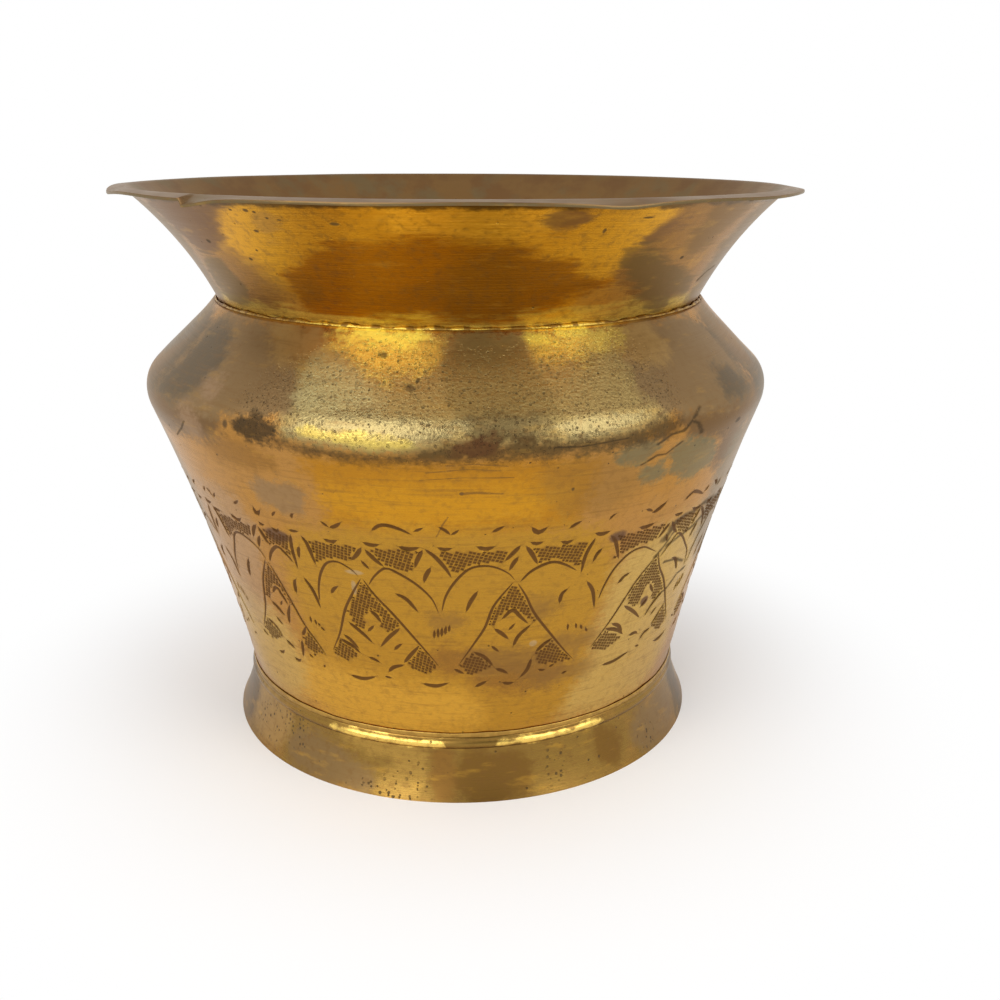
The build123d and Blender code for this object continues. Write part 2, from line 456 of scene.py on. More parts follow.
RIGHT_STROKES = (
    ((11.6, 82.6), (8.2, 74), (6.6, 66), (4.6, 60), (1.2, 51)),
    ((12.4, 82.2), (14.2, 77), (16.4, 69.5), (20.6, 60), (24, 53), (26.6, 48.4)),
    ((-1.7, 72), (-0.8, 78), (1, 83.5), (3.4, 88), (5.8, 89.2), (8.2, 88.5), (10.6, 86), (12, 83)),
    ((12.8, 82.5), (15, 86.5), (18.3, 88.8), (21, 87.4), (23.8, 84.2)),
    ((26.4, 79.4), (28.2, 75), (29.4, 68)),
    ((5.1, 79.8), (3.8, 76), (2.9, 72)),
    ((21.2, 72.5), (21.4, 76), (22.6, 77.9)),
    ((9.8, 68.6), (11.8, 71.8), (13.4, 69.2), (15.2, 66)),
    ((11.2, 64), (12.6, 66.8)),
    ((8.4, 65.2), (10, 63), (11.4, 60.6)),
    ((12.4, 57.6), (13.4, 61.6), (15.8, 65.6)),
    ((7.9, 58.5), (9.6, 55.8)),
    ((4.4, 56.2), (6.6, 54), (8.4, 50.4)),
    ((17.4, 54.5), (19, 57), (20.8, 59)),
    ((0.2, 49.6), (2.4, 47.6)),
    ((8.9, 49.2), (10.4, 48.2), (11.7, 46.7)),
    ((16.6, 52), (15.8, 47.5), (14.3, 44.6)),
    ((23.8, 64), (24, 61)),
    ((25.6, 63.5), (26, 61)),
    ((26.8, 62.5), (27.4, 60.2)),
    ((28.1, 60.6), (28.9, 58.8)),
    ((12.4, 96), (11.2, 93.5), (9.8, 90.6)),
    ((13.4, 95.6), (14.6, 92.5), (15.8, 88.6)),
    ((12.2, 92), (11.4, 89.8), (10.7, 87)),
    ((26.3, 95.6), (25, 90), (24.7, 83)),
    ((29.6, 95.4), (31, 92.5), (32.7, 85.5)),
    ((28.3, 91.2), (27.4, 89.4), (26.8, 86.5)),
    ((-1.9, 96.2), (-0.6, 95.4), (0.8, 96)),
    ((4.8, 96.4), (6.4, 95.4), (8, 96.2)),
    ((14, 97), (15.2, 96.2), (16.5, 96.8)),
    ((19.5, 96.2), (20.8, 95.5), (22, 96.3)),
    ((26, 97.4), (27.6, 96.6), (29.2, 97.2)),
    ((-1.5, 103.5), (-0.4, 102.4), (0.5, 100.6)),
    ((0.5, 100.6), (1.2, 101.4), (2, 102.6)),
    ((7.3, 101.2), (8.6, 102.6), (9.5, 103.4)),
    ((14, 102.4), (15.2, 100.2), (16.8, 102)),
    ((20.7, 100.5), (21.8, 101.8), (23, 102.7)),
    ((28.3, 101.3), (28.8, 102.6), (29.8, 103.5)),
    ((4.6, 42.2), (6, 43.4), (7.2, 44.4)),
    ((10.4, 43.4), (11.8, 42.7), (13.2, 43)),
    ((18.2, 47.2), (19.2, 46.4), (20.2, 46.4)),
    ((20.8, 47.2), (22, 48.2)),
    ((24, 43.4), (25.4, 44.2)),
)
RIGHT_GROUNDS = (
    ((11.8, 81.4), (13.8, 77), (15.8, 70), (16.2, 67), (15, 67.8), (13.4, 70.8), (11.8, 73),
     (9.6, 69.8), (8.6, 66.4), (7.2, 66.6), (7.4, 70.4), (9, 75.5)),
    ((1.6, 51), (4.2, 55.6), (8, 50.4), (3.6, 47.4)),
    ((17.6, 54.2), (20.6, 58.4), (22.6, 54.6), (25.4, 49.4), (22, 48.8), (18.4, 49.4)),
    ((-1.2, 94.2), (9.8, 94.2), (10.2, 92), (9, 90.4), (6, 90.2), (3.2, 89), (1.2, 86.8), (0.2, 89.4)),
    ((14.8, 94.2), (25.6, 94.2), (24.8, 90), (24.4, 86), (22.6, 87.2), (20.4, 88.9), (17.8, 89.9),
     (16.4, 89)),
)

# (left valley, tip, right valley) of each drawn cell, its strokes and its grounds
CELLS = (
    ((-27.0, -16.5, -2.0), LEFT_STROKES, LEFT_GROUNDS),
    ((-2.0, 11.8, 29.7), RIGHT_STROKES, RIGHT_GROUNDS),
)

# Tips of the triangles that face the camera; the rest are spaced evenly round the back
FRONT_TIPS = (-38.0, -16.5, 11.8, 43.5)
FRONT_VALLEYS = (-27.0, -2.0, 29.7)
TIP_COUNT = 13


def cell_spans():
    """(left valley, tip, right valley) of each cell round the pot, from the left of the camera's view."""
    gap = (360 + FRONT_TIPS[0] - FRONT_TIPS[-1]) / (TIP_COUNT - len(FRONT_TIPS) + 1)
    back = [FRONT_TIPS[-1] + gap * k for k in range(1, TIP_COUNT - len(FRONT_TIPS) + 1)]
    tips = [*FRONT_TIPS, *back]
    valleys = [*FRONT_VALLEYS, *(tip - gap / 2 for tip in back), tips[-1] + gap / 2]
    return [(left, tip, right) for left, tip, right in zip([valleys[-1] - 360, *valleys], tips, valleys)]


def fitted(points, drawn, span, draw, loose):
    """A cell's drawn points moved to another span, each a little off as by hand."""
    moved = []
    for angle, height in points:
        side = 0 if angle < drawn[1] else 2
        share = (angle - drawn[1]) / (drawn[side] - drawn[1])
        moved.append((
            span[1] + share * (span[side] - span[1]) + draw.uniform(-LOOSE_ANGLE, LOOSE_ANGLE) * loose,
            height + draw.uniform(-LOOSE_HEIGHT, LOOSE_HEIGHT) * loose,
        ))
    return moved


def band_cells():
    """Strokes and grounds of the whole band, as lists of (angle, height) points."""
    draw = random.Random(21)
    strokes, grounds = [], []
    for k, span in enumerate(cell_spans()):
        drawn, cell_strokes, cell_grounds = CELLS[(k + 1) % 2]
        loose = 0.0 if span == drawn else 1.0
        strokes += [fitted(points, drawn, span, draw, loose) for points in cell_strokes]
        grounds += [fitted(points, drawn, span, draw, 0) for points in cell_grounds]
    return strokes, grounds


class Wall:
    """The body's outer face unrolled: x runs round at the band's radius, y along the profile."""

    def __init__(self, path):
        self.path = path
        self.at = lengths(path)
        self.normal = outward(path)
        outer = self.at > BODY_FLANGE
        self.level = path[outer, 1]
        self.level_at = self.at[outer]

    def flat(self, points):
        """Unrolled places of (angle, height) points."""
        points = np.asarray(points, float)
        x = np.radians(points[..., 0]) * BAND_RADIUS
        return np.stack([x, np.interp(points[..., 1], self.level, self.level_at)], -1)

    def profile(self, y):
        """Profile points and outward normals at distances along the wall."""
        point = [np.interp(y, self.at, self.path[:, k]) for k in (0, 1)]
        normal = [np.interp(y, self.at, self.normal[:, k]) for k in (0, 1)]
        return np.stack(point, -1), np.stack(normal, -1)


def flowing(points, step=1.1):
    """Smooth line through a few points, sampled evenly."""
    points = np.asarray(points, float)
    ends = np.concatenate([[2 * points[0] - points[1]], points, [2 * points[-1] - points[-2]]])
    t = np.linspace(0, 1, 12, endpoint=False)[:, None]
    runs = []
    for a, b, c, d in zip(ends, ends[1:], ends[2:], ends[3:]):
        runs.append(0.5 * (2 * b + (c - a) * t + (2 * a - 5 * b + 4 * c - d) * t ** 2
                           + (3 * b - a - 3 * c + d) * t ** 3))
    line = np.concatenate([*runs, points[-1:]])
    count = max(4, round(lengths(line)[-1] / step) + 1)
    return along(line, np.linspace(0, lengths(line)[-1], count))


def stroke_widths(line):
    """Half width of a chased stroke at each point: blunt where the tool goes in, thin where it leaves."""
    share = lengths(line) / lengths(line)[-1]
    full = STROKE_HALF_WIDTH * graded(lengths(line)[-1], STROKE_FULLNESS)
    return full * (STROKE_BLUNT + (1 - STROKE_BLUNT) * np.sin(math.pi * share ** 0.8) ** 0.5)


def edge_gap(points, line, half):
    """Distance from each point to a stroke's middle line, and the stroke's half width there."""
    best = np.full(len(points), 1e9)
    width = np.zeros(len(points))
    for a, b, wa, wb in zip(line, line[1:], half, half[1:]):
        run = b - a
        share = np.clip(((points - a) @ run) / (run @ run), 0, 1)
        gap = np.linalg.norm(points - a - share[:, None] * run, axis=1)
        nearer = gap < best
        best = np.where(nearer, gap, best)
        width = np.where(nearer, wa + share * (wb - wa), width)
    return best, width


def relief(points, strokes):
    """Height of the chased face at each point, and how clear the point is of the nearest stroke."""
    height = np.zeros(len(points))
    burr = np.zeros(len(points))
    clear = np.full(len(points), 1e9)
    margin = STROKE_HALF_WIDTH + FILL_SPACING
    for line, half in strokes:
        near = np.all((points > line.min(0) - margin) & (points < line.max(0) + margin), axis=1)
        gap, width = edge_gap(points[near], line, half)
        depth = STROKE_DEPTH * width / STROKE_HALF_WIDTH * np.clip(1 - gap / width, 0, 1)
        height[near] = np.minimum(height[near], -np.where(gap < width * 0.99, depth, 0))
        burr[near] = np.maximum(burr[near], BURR_HEIGHT * np.clip(1 - (gap - width) / BURR_WIDTH, 0, 1))
        clear[near] = np.minimum(clear[near], gap - width)
    return np.where(clear < -1e-3, height, burr), clear


def inside(points, outline):
    """Which points lie inside a closed outline."""
    hit = np.zeros(len(points), bool)
    for a, b in zip(outline, np.roll(outline, -1, axis=0)):
        crosses = (a[1] > points[:, 1]) != (b[1] > points[:, 1])
        rise = b[1] - a[1] if b[1] != a[1] else 1e-9
        hit ^= crosses & (points[:, 0] < a[0] + (points[:, 1] - a[1]) * (b[0] - a[0]) / rise)
    return hit


def swollen(outline, times):
    """An outline made larger about its middle."""
    middle = outline.mean(axis=0)
    return middle + (outline - middle) * times


def punched(outline, strokes, draw):
    """Centres and corners of the punch marks that fill a ground, in slanted rows."""
    row = np.array([PUNCH_ACROSS, draw.uniform(*PUNCH_SLANT)])
    rise = np.array([draw.uniform(*PUNCH_LEAN), PUNCH_UP])
    lo, hi = outline.min(0), outline.max(0)
    reach = int(np.linalg.norm(hi - lo)) + 2
    i, j = np.meshgrid(np.arange(-reach, reach), np.arange(-reach, reach))
    centres = (lo + hi) / 2 + i.reshape(-1, 1) * row + j.reshape(-1, 1) * rise
    centres = centres[inside(centres, outline)]
    if not len(centres):
        return centres, np.zeros((0, 4, 2))
    centres = centres[relief(centres, strokes)[1] > PUNCH_CLEAR]
    shake = [[draw.uniform(-PUNCH_SHAKE, PUNCH_SHAKE) for _ in range(2)] for _ in centres]
    centres = centres + np.array(shake).reshape(-1, 2)
    signs = ((-1, -1), (1, -1), (1, 1), (-1, 1))
    corners = [centres + sx * PUNCH_HALF * row + sy * PUNCH_HALF * rise for sx, sy in signs]
    return centres, np.stack(corners, 1)


class Drawing:
    """Points and edges that a flat triangulation has to hold, some of them at a set height."""

    def __init__(self):
        self.points = []
        self.edges = []
        self.heights = {}

    def add(self, new, chained=False, closed=False, height=None):
        first = len(self.points)
        count = len(new)
        self.points += [Vector(p) for p in new]
        if chained:
            links = count if closed else count - 1
            self.edges += [(first + k, first + (k + 1) % count) for k in range(links)]
        if height is not None:
            self.heights.update((first + k, height) for k in range(count))


def draw_frame(drawing, wall, edge):
    """Edges of the unrolled band, with a point at each degree, so that the plain wall joins on."""
    degrees = np.arange(-180, 181)
    bottom = wall.flat([(a, BAND_BOTTOM) for a in degrees])
    top = wall.flat([(a, BAND_TOP) for a in degrees])
    drawing.add(bottom, chained=True)
    drawing.add(top, chained=True)
    rungs = np.linspace(bottom[0, 1], top[0, 1], round((top[0, 1] - bottom[0, 1]) / FILL_SPACING))
    for side in (-edge, edge):
        drawing.add([(side, y) for y in rungs], chained=True)


def draw_stroke(drawing, line, half):
    """A stroke's middle line and both its edges, and loose points where its burr ends."""
    step = np.gradient(line, axis=0)
    aside = np.stack([-step[:, 1], step[:, 0]], -1) / np.linalg.norm(step, axis=1)[:, None]
    drawing.add(line, chained=True)
    for side in (-1, 1):
        border = line + aside * (side * half)[:, None]
        drawing.add(np.concatenate([line[:1], border[1:-1], line[-1:]]), chained=True)
        drawing.add(border + aside * side * BURR_WIDTH)


def draw_fill(drawing, strokes, outlines, edge, low_y, high_y):
    """Loose points over the plain parts of the band."""
    rise = FILL_SPACING * math.sqrt(3) / 2
    rows = np.arange(low_y + rise, high_y - rise / 2, rise)
    spots = []
    for k, y in enumerate(rows):
        x = np.arange(-edge + FILL_SPACING * (1 + k % 2 / 2), edge - FILL_SPACING, FILL_SPACING)
        spots.append(np.stack([x, np.full_like(x, y)], -1))
    spots = np.concatenate(spots)
    spots = spots[relief(spots, strokes)[1] > BURR_WIDTH + 0.3 * FILL_SPACING]
    for outline in outlines:
        spots = spots[~inside(spots, outline)]
    drawing.add(spots)


def chased_band(wall):
    """The band as a flat triangulation: unrolled points, their heights above the wall, and faces."""
    draw = random.Random(8)
    edge = math.pi * BAND_RADIUS
    drawn, grounds = band_cells()
    strokes = []
    for points in drawn:
        line = flowing(wall.flat(points))
        for turn in (-2 * edge, 0, 2 * edge):
            moved = line + (turn, 0)
            if moved[:, 0].min() < edge and moved[:, 0].max() > -edge:
                strokes.append((moved, stroke_widths(line)))
    outlines = [swollen(wall.flat(points), GROUND_SWELL) for points in grounds]

    drawing = Drawing()
    draw_frame(drawing, wall, edge)
    for line, half in strokes:
        draw_stroke(drawing, line, half)
    # Only strokes are carried over the seam at the back: the grounds of the cells past it stay plain
    for outline in outlines:
        centres, corners = punched(outline, strokes, draw)
        keep = np.abs(centres[:, 0]) < edge - SEAM_CLEAR
        drawing.add(centres[keep], height=-PIT_DEPTH)
        for quad in corners[keep]:
            drawing.add(quad, chained=True, closed=True, height=-GROUND_SUNK)
    low_y, high_y = wall.flat([(0, BAND_BOTTOM), (0, BAND_TOP)])[:, 1]
    draw_fill(drawing, strokes, outlines, edge, low_y, high_y)

    spots, _, faces, origins, _, _ = delaunay_2d_cdt(drawing.points, drawing.edges, [], 0, 1e-4)
    spots = np.array([tuple(s) for s in spots])
    height = relief(spots, strokes)[0]
    for k, sources in enumerate(origins):
        for source in sources:
            if source in drawing.heights:
                height[k] = min(height[k], drawing.heights[source])
    on_edge = (np.abs(spots[:, 1] - low_y) < 1e-3) | (np.abs(spots[:, 1] - high_y) < 1e-3)
    height[on_edge] = 0
    within = [f for f in faces if abs(sum(spots[k, 0] for k in f) / len(f)) < edge
              and low_y < sum(spots[k, 1] for k in f) / len(f) < high_y]
    return spots, height, within


# Pieces

# Dents in the body: depth, angle, height, half angle and half height
BODY_DENTS = (
    (0.7, -30, 131, 4, 4),
    (0.5, -52, 140, 6, 8),
    (0.5, 37, 124, 5, 6),
    (0.4, 20, 118, 8, 5),
)


def body_dent(angle, height):
    """How far the hand-raised body bulges out, in millimetres."""
    wobble = waves(angle, height, 5, 0.16) + waves(angle, 4 * height, 6, 0.05, longest=14)
    push = wobble * graded(height, BODY_FREE)
    for depth, *place in BODY_DENTS:
        push -= depth * dimple(angle, height, *place)
    return push


def body_point(wall, angle, y, lift):
    """Place, in metres, of a point of the unrolled wall that is lifted off it."""
    (radius, height), (out, up) = [pair.T for pair in wall.profile(y)]
    return placed(angle, radius + out * lift + body_dent(angle, height), height + up * lift)


def body_normal(wall, angle, y):
    """Unit normals of the plain wall, dents and all."""
    reach = 0.1
    turn = math.degrees(reach / BAND_RADIUS)
    across = body_point(wall, angle + turn, y, 0) - body_point(wall, angle - turn, y, 0)
    upward = body_point(wall, angle, y + reach, 0) - body_point(wall, angle, y - reach, 0)
    normal = np.cross(across, upward)
    return normal / np.linalg.norm(normal, axis=1)[:, None]


def plain_rows(path, low_y, high_y):
    """Profile of the body without its band: up over the shoulder, down inside, and out to the band's foot."""
    at = lengths(path)
    upper = np.concatenate([along(path, [high_y]), path[at > high_y]])
    lower = np.concatenate([path[at < low_y], along(path, [low_y])])
    inner = pushed(path, -SHEET)[::-1]
    runs = (upper, BODY_UPPER_ROWS), (inner, BODY_INNER_ROWS), (lower, BODY_LOWER_ROWS)
    return np.concatenate([spread(run, count) for run, count in runs])


def make_body(material):
    wall = Wall(body_path())
    low_y, high_y = wall.flat([(0, BAND_BOTTOM), (0, BAND_TOP)])[:, 1]
    spots, lift, band_faces = chased_band(wall)
    band_angle = np.degrees(spots[:, 0] / BAND_RADIUS)
    band = body_point(wall, band_angle, spots[:, 1], lift)
    smooth = np.where(np.abs(lift)[:, None] < 1e-6, body_normal(wall, band_angle, spots[:, 1]), 0)

    rows = plain_rows(wall.path, low_y, high_y)
    angle, radius, height, row = spun(rows, BODY_COLUMNS)
    plain = placed(angle, radius + body_dent(angle, height), height)
    within = (row >= BODY_UPPER_ROWS) & (row < BODY_UPPER_ROWS + BODY_INNER_ROWS)

    mesh = bmesh.new()
    recess = mesh.verts.layers.float.new("recess")
    indoors = mesh.verts.layers.float.new("inside")
    normal = mesh.verts.layers.float_vector.new("plain_normal")
    for point, depth, direction in zip(band, lift, smooth):
        vertex = mesh.verts.new(point)
        vertex[recess] = max(0.0, -depth / STROKE_DEPTH)
        vertex[normal] = direction
    for point, inner in zip(plain, within):
        vertex = mesh.verts.new(point)
        vertex[indoors] = float(inner)
    mesh.verts.ensure_lookup_table()
    for face in [*band_faces, *strip_faces(len(rows), BODY_COLUMNS, first=len(band))]:
        mesh.faces.new([mesh.verts[k] for k in face])
    bmesh.ops.remove_doubles(mesh, verts=mesh.verts, dist=BODY_WELD)
    data = bpy.data.meshes.new("body_chased")
    mesh.to_mesh(data)
    mesh.free()

    data.shade_smooth()
    data.set_sharp_from_angle(angle=radians(BAND_CRISP))
    kept = np.zeros(len(data.vertices) * 3)
    data.attributes["plain_normal"].data.foreach_get("vector", kept)
    data.attributes.remove(data.attributes["plain_normal"])
    data.normals_split_custom_set_from_vertices(kept.reshape(-1, 3).tolist())
    piece = bpy.data.objects.new("body_chased", data)
    bpy.context.scene.collection.objects.link(piece)
    tell_patches(piece, BODY_PATCHES)
    tell_depth(piece, "pitted_zone", [PITTED_ZONE])
    return finished(piece, "body", material)


# The lip's droop, its dips (depth, angle, half angle) and the crack at the left, where one side hangs lower
LIP_DROOP = 0.8
LIP_DROOP_RANGE = 0.15, 3.2
LIP_ZONE = 3.0
LIP_DRAWN_IN = 0.5
LIP_DRAWN_IN_LEAST = 0.05
LIP_DIPS = ((0.8, 24, 5), (0.5, -68, 8))
CRACK_ANGLE = -38.5
CRACK_DROP = 1.7
CRACK_REACH = 5.0


def collar_dent(angle, radius, height):
    """Push of the collar's points: a wobbly flare and a lip that droops in waves, cracked at the left."""
    wobble = waves(angle, height, 11, 0.22, longest=2)
    free = graded(height, COLLAR_FREE)
    lip = np.clip((radius - COLLAR_TOP_RADIUS) / (RIM_RADIUS - COLLAR_TOP_RADIUS), 0, 1)
    lip *= height > RIM_TOP - LIP_ZONE
    droop = LIP_DROOP + waves(angle, 0 * height, 12, 0.22, longest=4)
    for depth, centre, half in LIP_DIPS:
        droop += depth * dimple(angle, height, centre, RIM_TOP, half, 50)
    from_crack = apart(angle, CRACK_ANGLE)
    droop += CRACK_DROP * np.exp(-(from_crack / CRACK_REACH) ** 2) * (from_crack > 0)
    out = free * wobble * (1 - lip) + lip * np.minimum(wobble - LIP_DRAWN_IN, -LIP_DRAWN_IN_LEAST)
    return out, -lip * np.clip(droop, *LIP_DROOP_RANGE)


def make_collar(material):
    outer = collar_path()
    inner = pushed(outer, -SHEET)[::-1]
    edge = [(RIM_RADIUS, RIM_TOP - 0.7 * SHEET), (RIM_RADIUS, RIM_TOP - 0.3 * SHEET)]
    loop = np.concatenate([spread(outer, COLLAR_OUTER_ROWS), edge, spread(inner, COLLAR_INNER_ROWS)])
    outer_rows = COLLAR_OUTER_ROWS + len(edge)
    piece = turned("flared_collar_worn", loop, COLLAR_COLUMNS, collar_dent, outer_rows)
    tell_patches(piece, COLLAR_PATCHES)
    return finished(piece, "flared_collar", material)


def foot_dent(angle, radius, height):
    """Slight wobble of the foot; the edge that it stands on stays flat."""
    return graded(height, FOOT_FREE) * waves(angle, height, 31, 0.12) - FOOT_DRAWN_IN, 0 * height


def make_foot(material):
    outer = foot_path()
    inner = pushed(outer, -FOOT_SHEET)[::-1]
    inner[:, 1] = np.maximum(inner[:, 1], 0)
    loop = np.concatenate([spread(outer, FOOT_OUTER_ROWS), spread(inner, FOOT_INNER_ROWS)])
    piece = turned("foot_ring_worn", loop, FOOT_COLUMNS, foot_dent, FOOT_OUTER_ROWS)
    tell_patches(piece, FOOT_PATCHES)
    return finished(piece, "foot_ring", material)


def rounded(corners, rounds=2):
    """A closed outline with its corners cut a few times, so that they turn softly."""
    corners = np.array(corners, float)
    for _ in range(rounds):
        onward = np.roll(corners, -1, axis=0)
        pairs = np.stack([0.75 * corners + 0.25 * onward, 0.25 * corners + 0.75 * onward], 1)
        corners = pairs.reshape(-1, 2)
    return corners


# How far solder swells and shrinks about its section, and how many of each wave go round the pot at least
SOLDER_SWELL = -0.45, 0.9
SOLDER_WAVES = 7, 23, 61

# Rings of solder: node, corners of the section counter-clockwise, seed, size of the lumps, columns
SOLDER_RINGS = (
    ("neck_solder_outer", ((86.6, 157.9), (87.3, 158.2), (87.6, 158.6), (87.45, 159.2), (86.8, 159.6)),
     100, 0.2, 1440),
    ("neck_solder_inner", ((SPIGOT_RADIUS, 155.7), (88.0, 156.3), (86.67, 157.7), (SPIGOT_RADIUS, 157.7)),
     200, 0.15, 720),
    ("floor_solder", ((80.2, 23.5), (80.8, 22.9), (82.2, 24.1), (82.8, 26.6)), 300, 0.15, 720),
    ("foot_solder_outer", ((81.4, 21.65), (82.7, 21.6), (83.2, 21.2), (83.2, 23.3), (82.3, 22.2)),
     400, 0.08, 720),
    ("foot_solder_inner", ((75.7, 21.6), (77.2, 20.6), (77.2, 21.6)), 500, 0.15, 720),
)


def make_solder(node, corners, seed, lumps, columns, material):
    """A lumpy ring of solder with the given section."""
    loop = rounded(corners)
    centre = loop.mean(axis=0)

    def dent(angle, radius, height):
        swell = sum(waves(angle, 0 * height, seed + k, lumps, longest=k) for k in SOLDER_WAVES)
        swell = np.clip(swell, *SOLDER_SWELL)
        return (radius - centre[0]) * swell, (height - centre[1]) * swell

    piece = turned(node + "_cast", loop, columns, dent)
    return finished(piece, node, material)


HAMMER_BLOWS = 260
HAMMER_RADIUS = 7.0
HAMMER_DEPTH = 0.02, 0.06
HAMMER_RIM = 6.0                 # the blows get weaker this near to the disc's edge


def make_base_disc(material):
    """The disc that closes the pot, planished by hammer."""
    bevel = straight((DISC_RADIUS, FLOOR_LEVEL - DISC_BEVEL), (DISC_RADIUS - DISC_BEVEL, FLOOR_LEVEL), 3)
    top = straight(bevel[-1], (0, FLOOR_LEVEL), DISC_TOP_ROWS)[1:]
    bottom = straight((0, DISC_LEVEL), (DISC_RADIUS, DISC_LEVEL), DISC_BOTTOM_ROWS)
    rows = np.concatenate([bottom, bevel, top])
    angle, radius, height, _ = spun(rows, DISC_COLUMNS)
    angle = np.radians(angle)
    x = radius * np.sin(angle)
    y = -radius * np.cos(angle)
    draw = random.Random(3)
    sunk = np.zeros_like(x)
    for _ in range(HAMMER_BLOWS):
        turn = draw.uniform(0, 2 * math.pi)
        distance = DISC_RADIUS * math.sqrt(draw.random())
        depth = draw.uniform(*HAMMER_DEPTH)
        gap = np.hypot(x - distance * math.cos(turn), y - distance * math.sin(turn))
        sunk = np.maximum(sunk, depth * np.clip(1 - (gap / HAMMER_RADIUS) ** 2, 0, 1))
    rim = np.clip((DISC_RADIUS - radius) / HAMMER_RIM, 0, 1)
    points = np.stack([x, y, height - sunk * rim * (height > FLOOR_LEVEL - 0.1)], -1) * MM
    piece = make_mesh("base_disc_hammered", points, strip_faces(len(rows), DISC_COLUMNS))
    mesh = bmesh.new()
    mesh.from_mesh(piece.data)
    bmesh.ops.remove_doubles(mesh, verts=mesh.verts, dist=DISC_WELD)
    mesh.to_mesh(piece.data)
    mesh.free()
    return finished(piece, "base_disc", material)


# Materials. Colours are linear.

AMBER = (0.46, 0.20, 0.018)
OCHRE = (0.47, 0.24, 0.03)
HONEY = (0.69, 0.33, 0.02)
TAWNY = (0.52, 0.26, 0.043)
# Brown and bark: the collar's dark front patch, partly stain and partly painted reflection
BROWN = (0.42, 0.155, 0.006)
BARK = (0.30, 0.12, 0.009)
SAND = (0.57, 0.365, 0.10)
# Painted highlight in the middle of the collar's top
AMBER_HIGHLIGHT = (0.97, 0.52, 0.045)
STRAW = (0.66, 0.355, 0.047)
COPPER = (0.30, 0.14, 0.03)
# Painted reflection down the middle of the foot
RUSSET = (0.26, 0.13, 0.03)
TAN = (0.45, 0.22, 0.055)
PINK = (0.40, 0.25, 0.14)
KHAKI = (0.45, 0.265, 0.06)
OLIVE = (0.27, 0.157, 0.036)
# Moss: a dark tone on the collar and at the foot's right, and painted reflection down the foot's middle
MOSS = (0.19, 0.097, 0.022)
LICHEN = (0.16, 0.14, 0.068)
SATIN = (0.375, 0.262, 0.09)
SAGE = (0.48, 0.40, 0.175)
# Gold: a plain tone on the collar's foot, and a painted highlight on the shoulder, its turn and the neck seam
GOLD = (0.74, 0.54, 0.10)
# Painted highlight at the top of the shoulder
LEMON_HIGHLIGHT = (1.0, 0.86, 0.12)
# Painted highlight along the foot's bead
BEAD_HIGHLIGHT = (1.0, 0.68, 0.16)
# Painted highlight on the shoulder's turn
TURN_HIGHLIGHT = (0.36, 0.28, 0.12)
TAUPE = (0.225, 0.138, 0.056)
LOAM = (0.14, 0.077, 0.03)
CLAY = (0.39, 0.235, 0.075)
# Painted reflection: the dark strip down the middle of the shoulder, and its darker foot
STRIP_REFLECTION = (0.31, 0.22, 0.075)
STRIP_REFLECTION_DEEP = (0.17, 0.12, 0.045)
# Painted dark: a painted reflection under the shoulder's turn, and a painted shadow under the lip
DARK_SHADE_AND_REFLECTION = (0.075, 0.038, 0.011)
UMBER = (0.20, 0.10, 0.028)
TOBACCO = (0.20, 0.11, 0.042)
MUD = (0.26, 0.135, 0.035)
SMOKE = (0.26, 0.165, 0.08)
# A reddish tone, darkened as painted reflection under the shoulder's turn
RUST_AND_REFLECTION = (0.10, 0.033, 0.012)
GREY = (0.15, 0.085, 0.02)
PEWTER = (0.17, 0.122, 0.058)
ASH = (0.09, 0.058, 0.022)
VEIL = (0.28, 0.21, 0.135)
CHALK = (0.45, 0.38, 0.26)
DRAB = (0.21, 0.16, 0.095)
SLATE = (0.105, 0.076, 0.043)
PURPLE = (0.14, 0.065, 0.03)
SOOT = (0.045, 0.028, 0.012)
GROOVE = (0.12, 0.05, 0.013)
GRAZED = (0.94, 0.88, 0.80)


class Nodes:
    """Shorthand for building a shader out of nodes."""

    def __init__(self, tree):
        self.nodes = tree.nodes
        self.links = tree.links

    def put(self, socket, value):
        """Link a socket to another, or set it."""
        if isinstance(value, bpy.types.NodeSocket):
            self.links.new(value, socket)
        else:
            socket.default_value = (*value, 1.0) if socket.type == "RGBA" else value

    def feed(self, node, inputs):
        """Link or set a node's inputs, given by name or number; None leaves one as it is."""
        for socket, value in dict(inputs).items():
            if value is not None:
                self.put(node.inputs[socket], value)

    def node(self, kind, inputs=()):
        """A new node with these inputs."""
        node = self.nodes.new("ShaderNode" + kind)
        self.feed(node, inputs)
        return node

    def math(self, kind, *values, clamp=False):
        node = self.node("Math")
        node.operation = kind
        node.use_clamp = clamp
        self.feed(node, enumerate(values))
        return node.outputs[0]

    def vector(self, kind, first, second=None, scale=None):
        node = self.node("VectorMath")
        node.operation = kind
        self.feed(node, {0: first, 1: second, "Scale": scale})
        return node.outputs["Value" if kind in ("LENGTH", "DOT_PRODUCT") else "Vector"]

    def mixed(self, share, first, second, kind="RGBA"):
        node = self.node("Mix")
        node.data_type = kind
        shown = [socket for socket in node.inputs if socket.enabled]
        for socket, value in zip(shown, (share, first, second)):
            self.put(socket, value)
        return [socket for socket in node.outputs if socket.enabled][0]

    def eased(self, value, start, end, first=0.0, last=1.0):
        """First before start and last past end, with a soft step between; start may be the greater."""
        if start > end:
            start, end, first, last = end, start, last, first
        node = self.node("MapRange", {"Value": value, "From Min": start, "From Max": end,
                                      "To Min": first, "To Max": last})
        node.interpolation_type = "SMOOTHSTEP"
        return node.outputs[0]


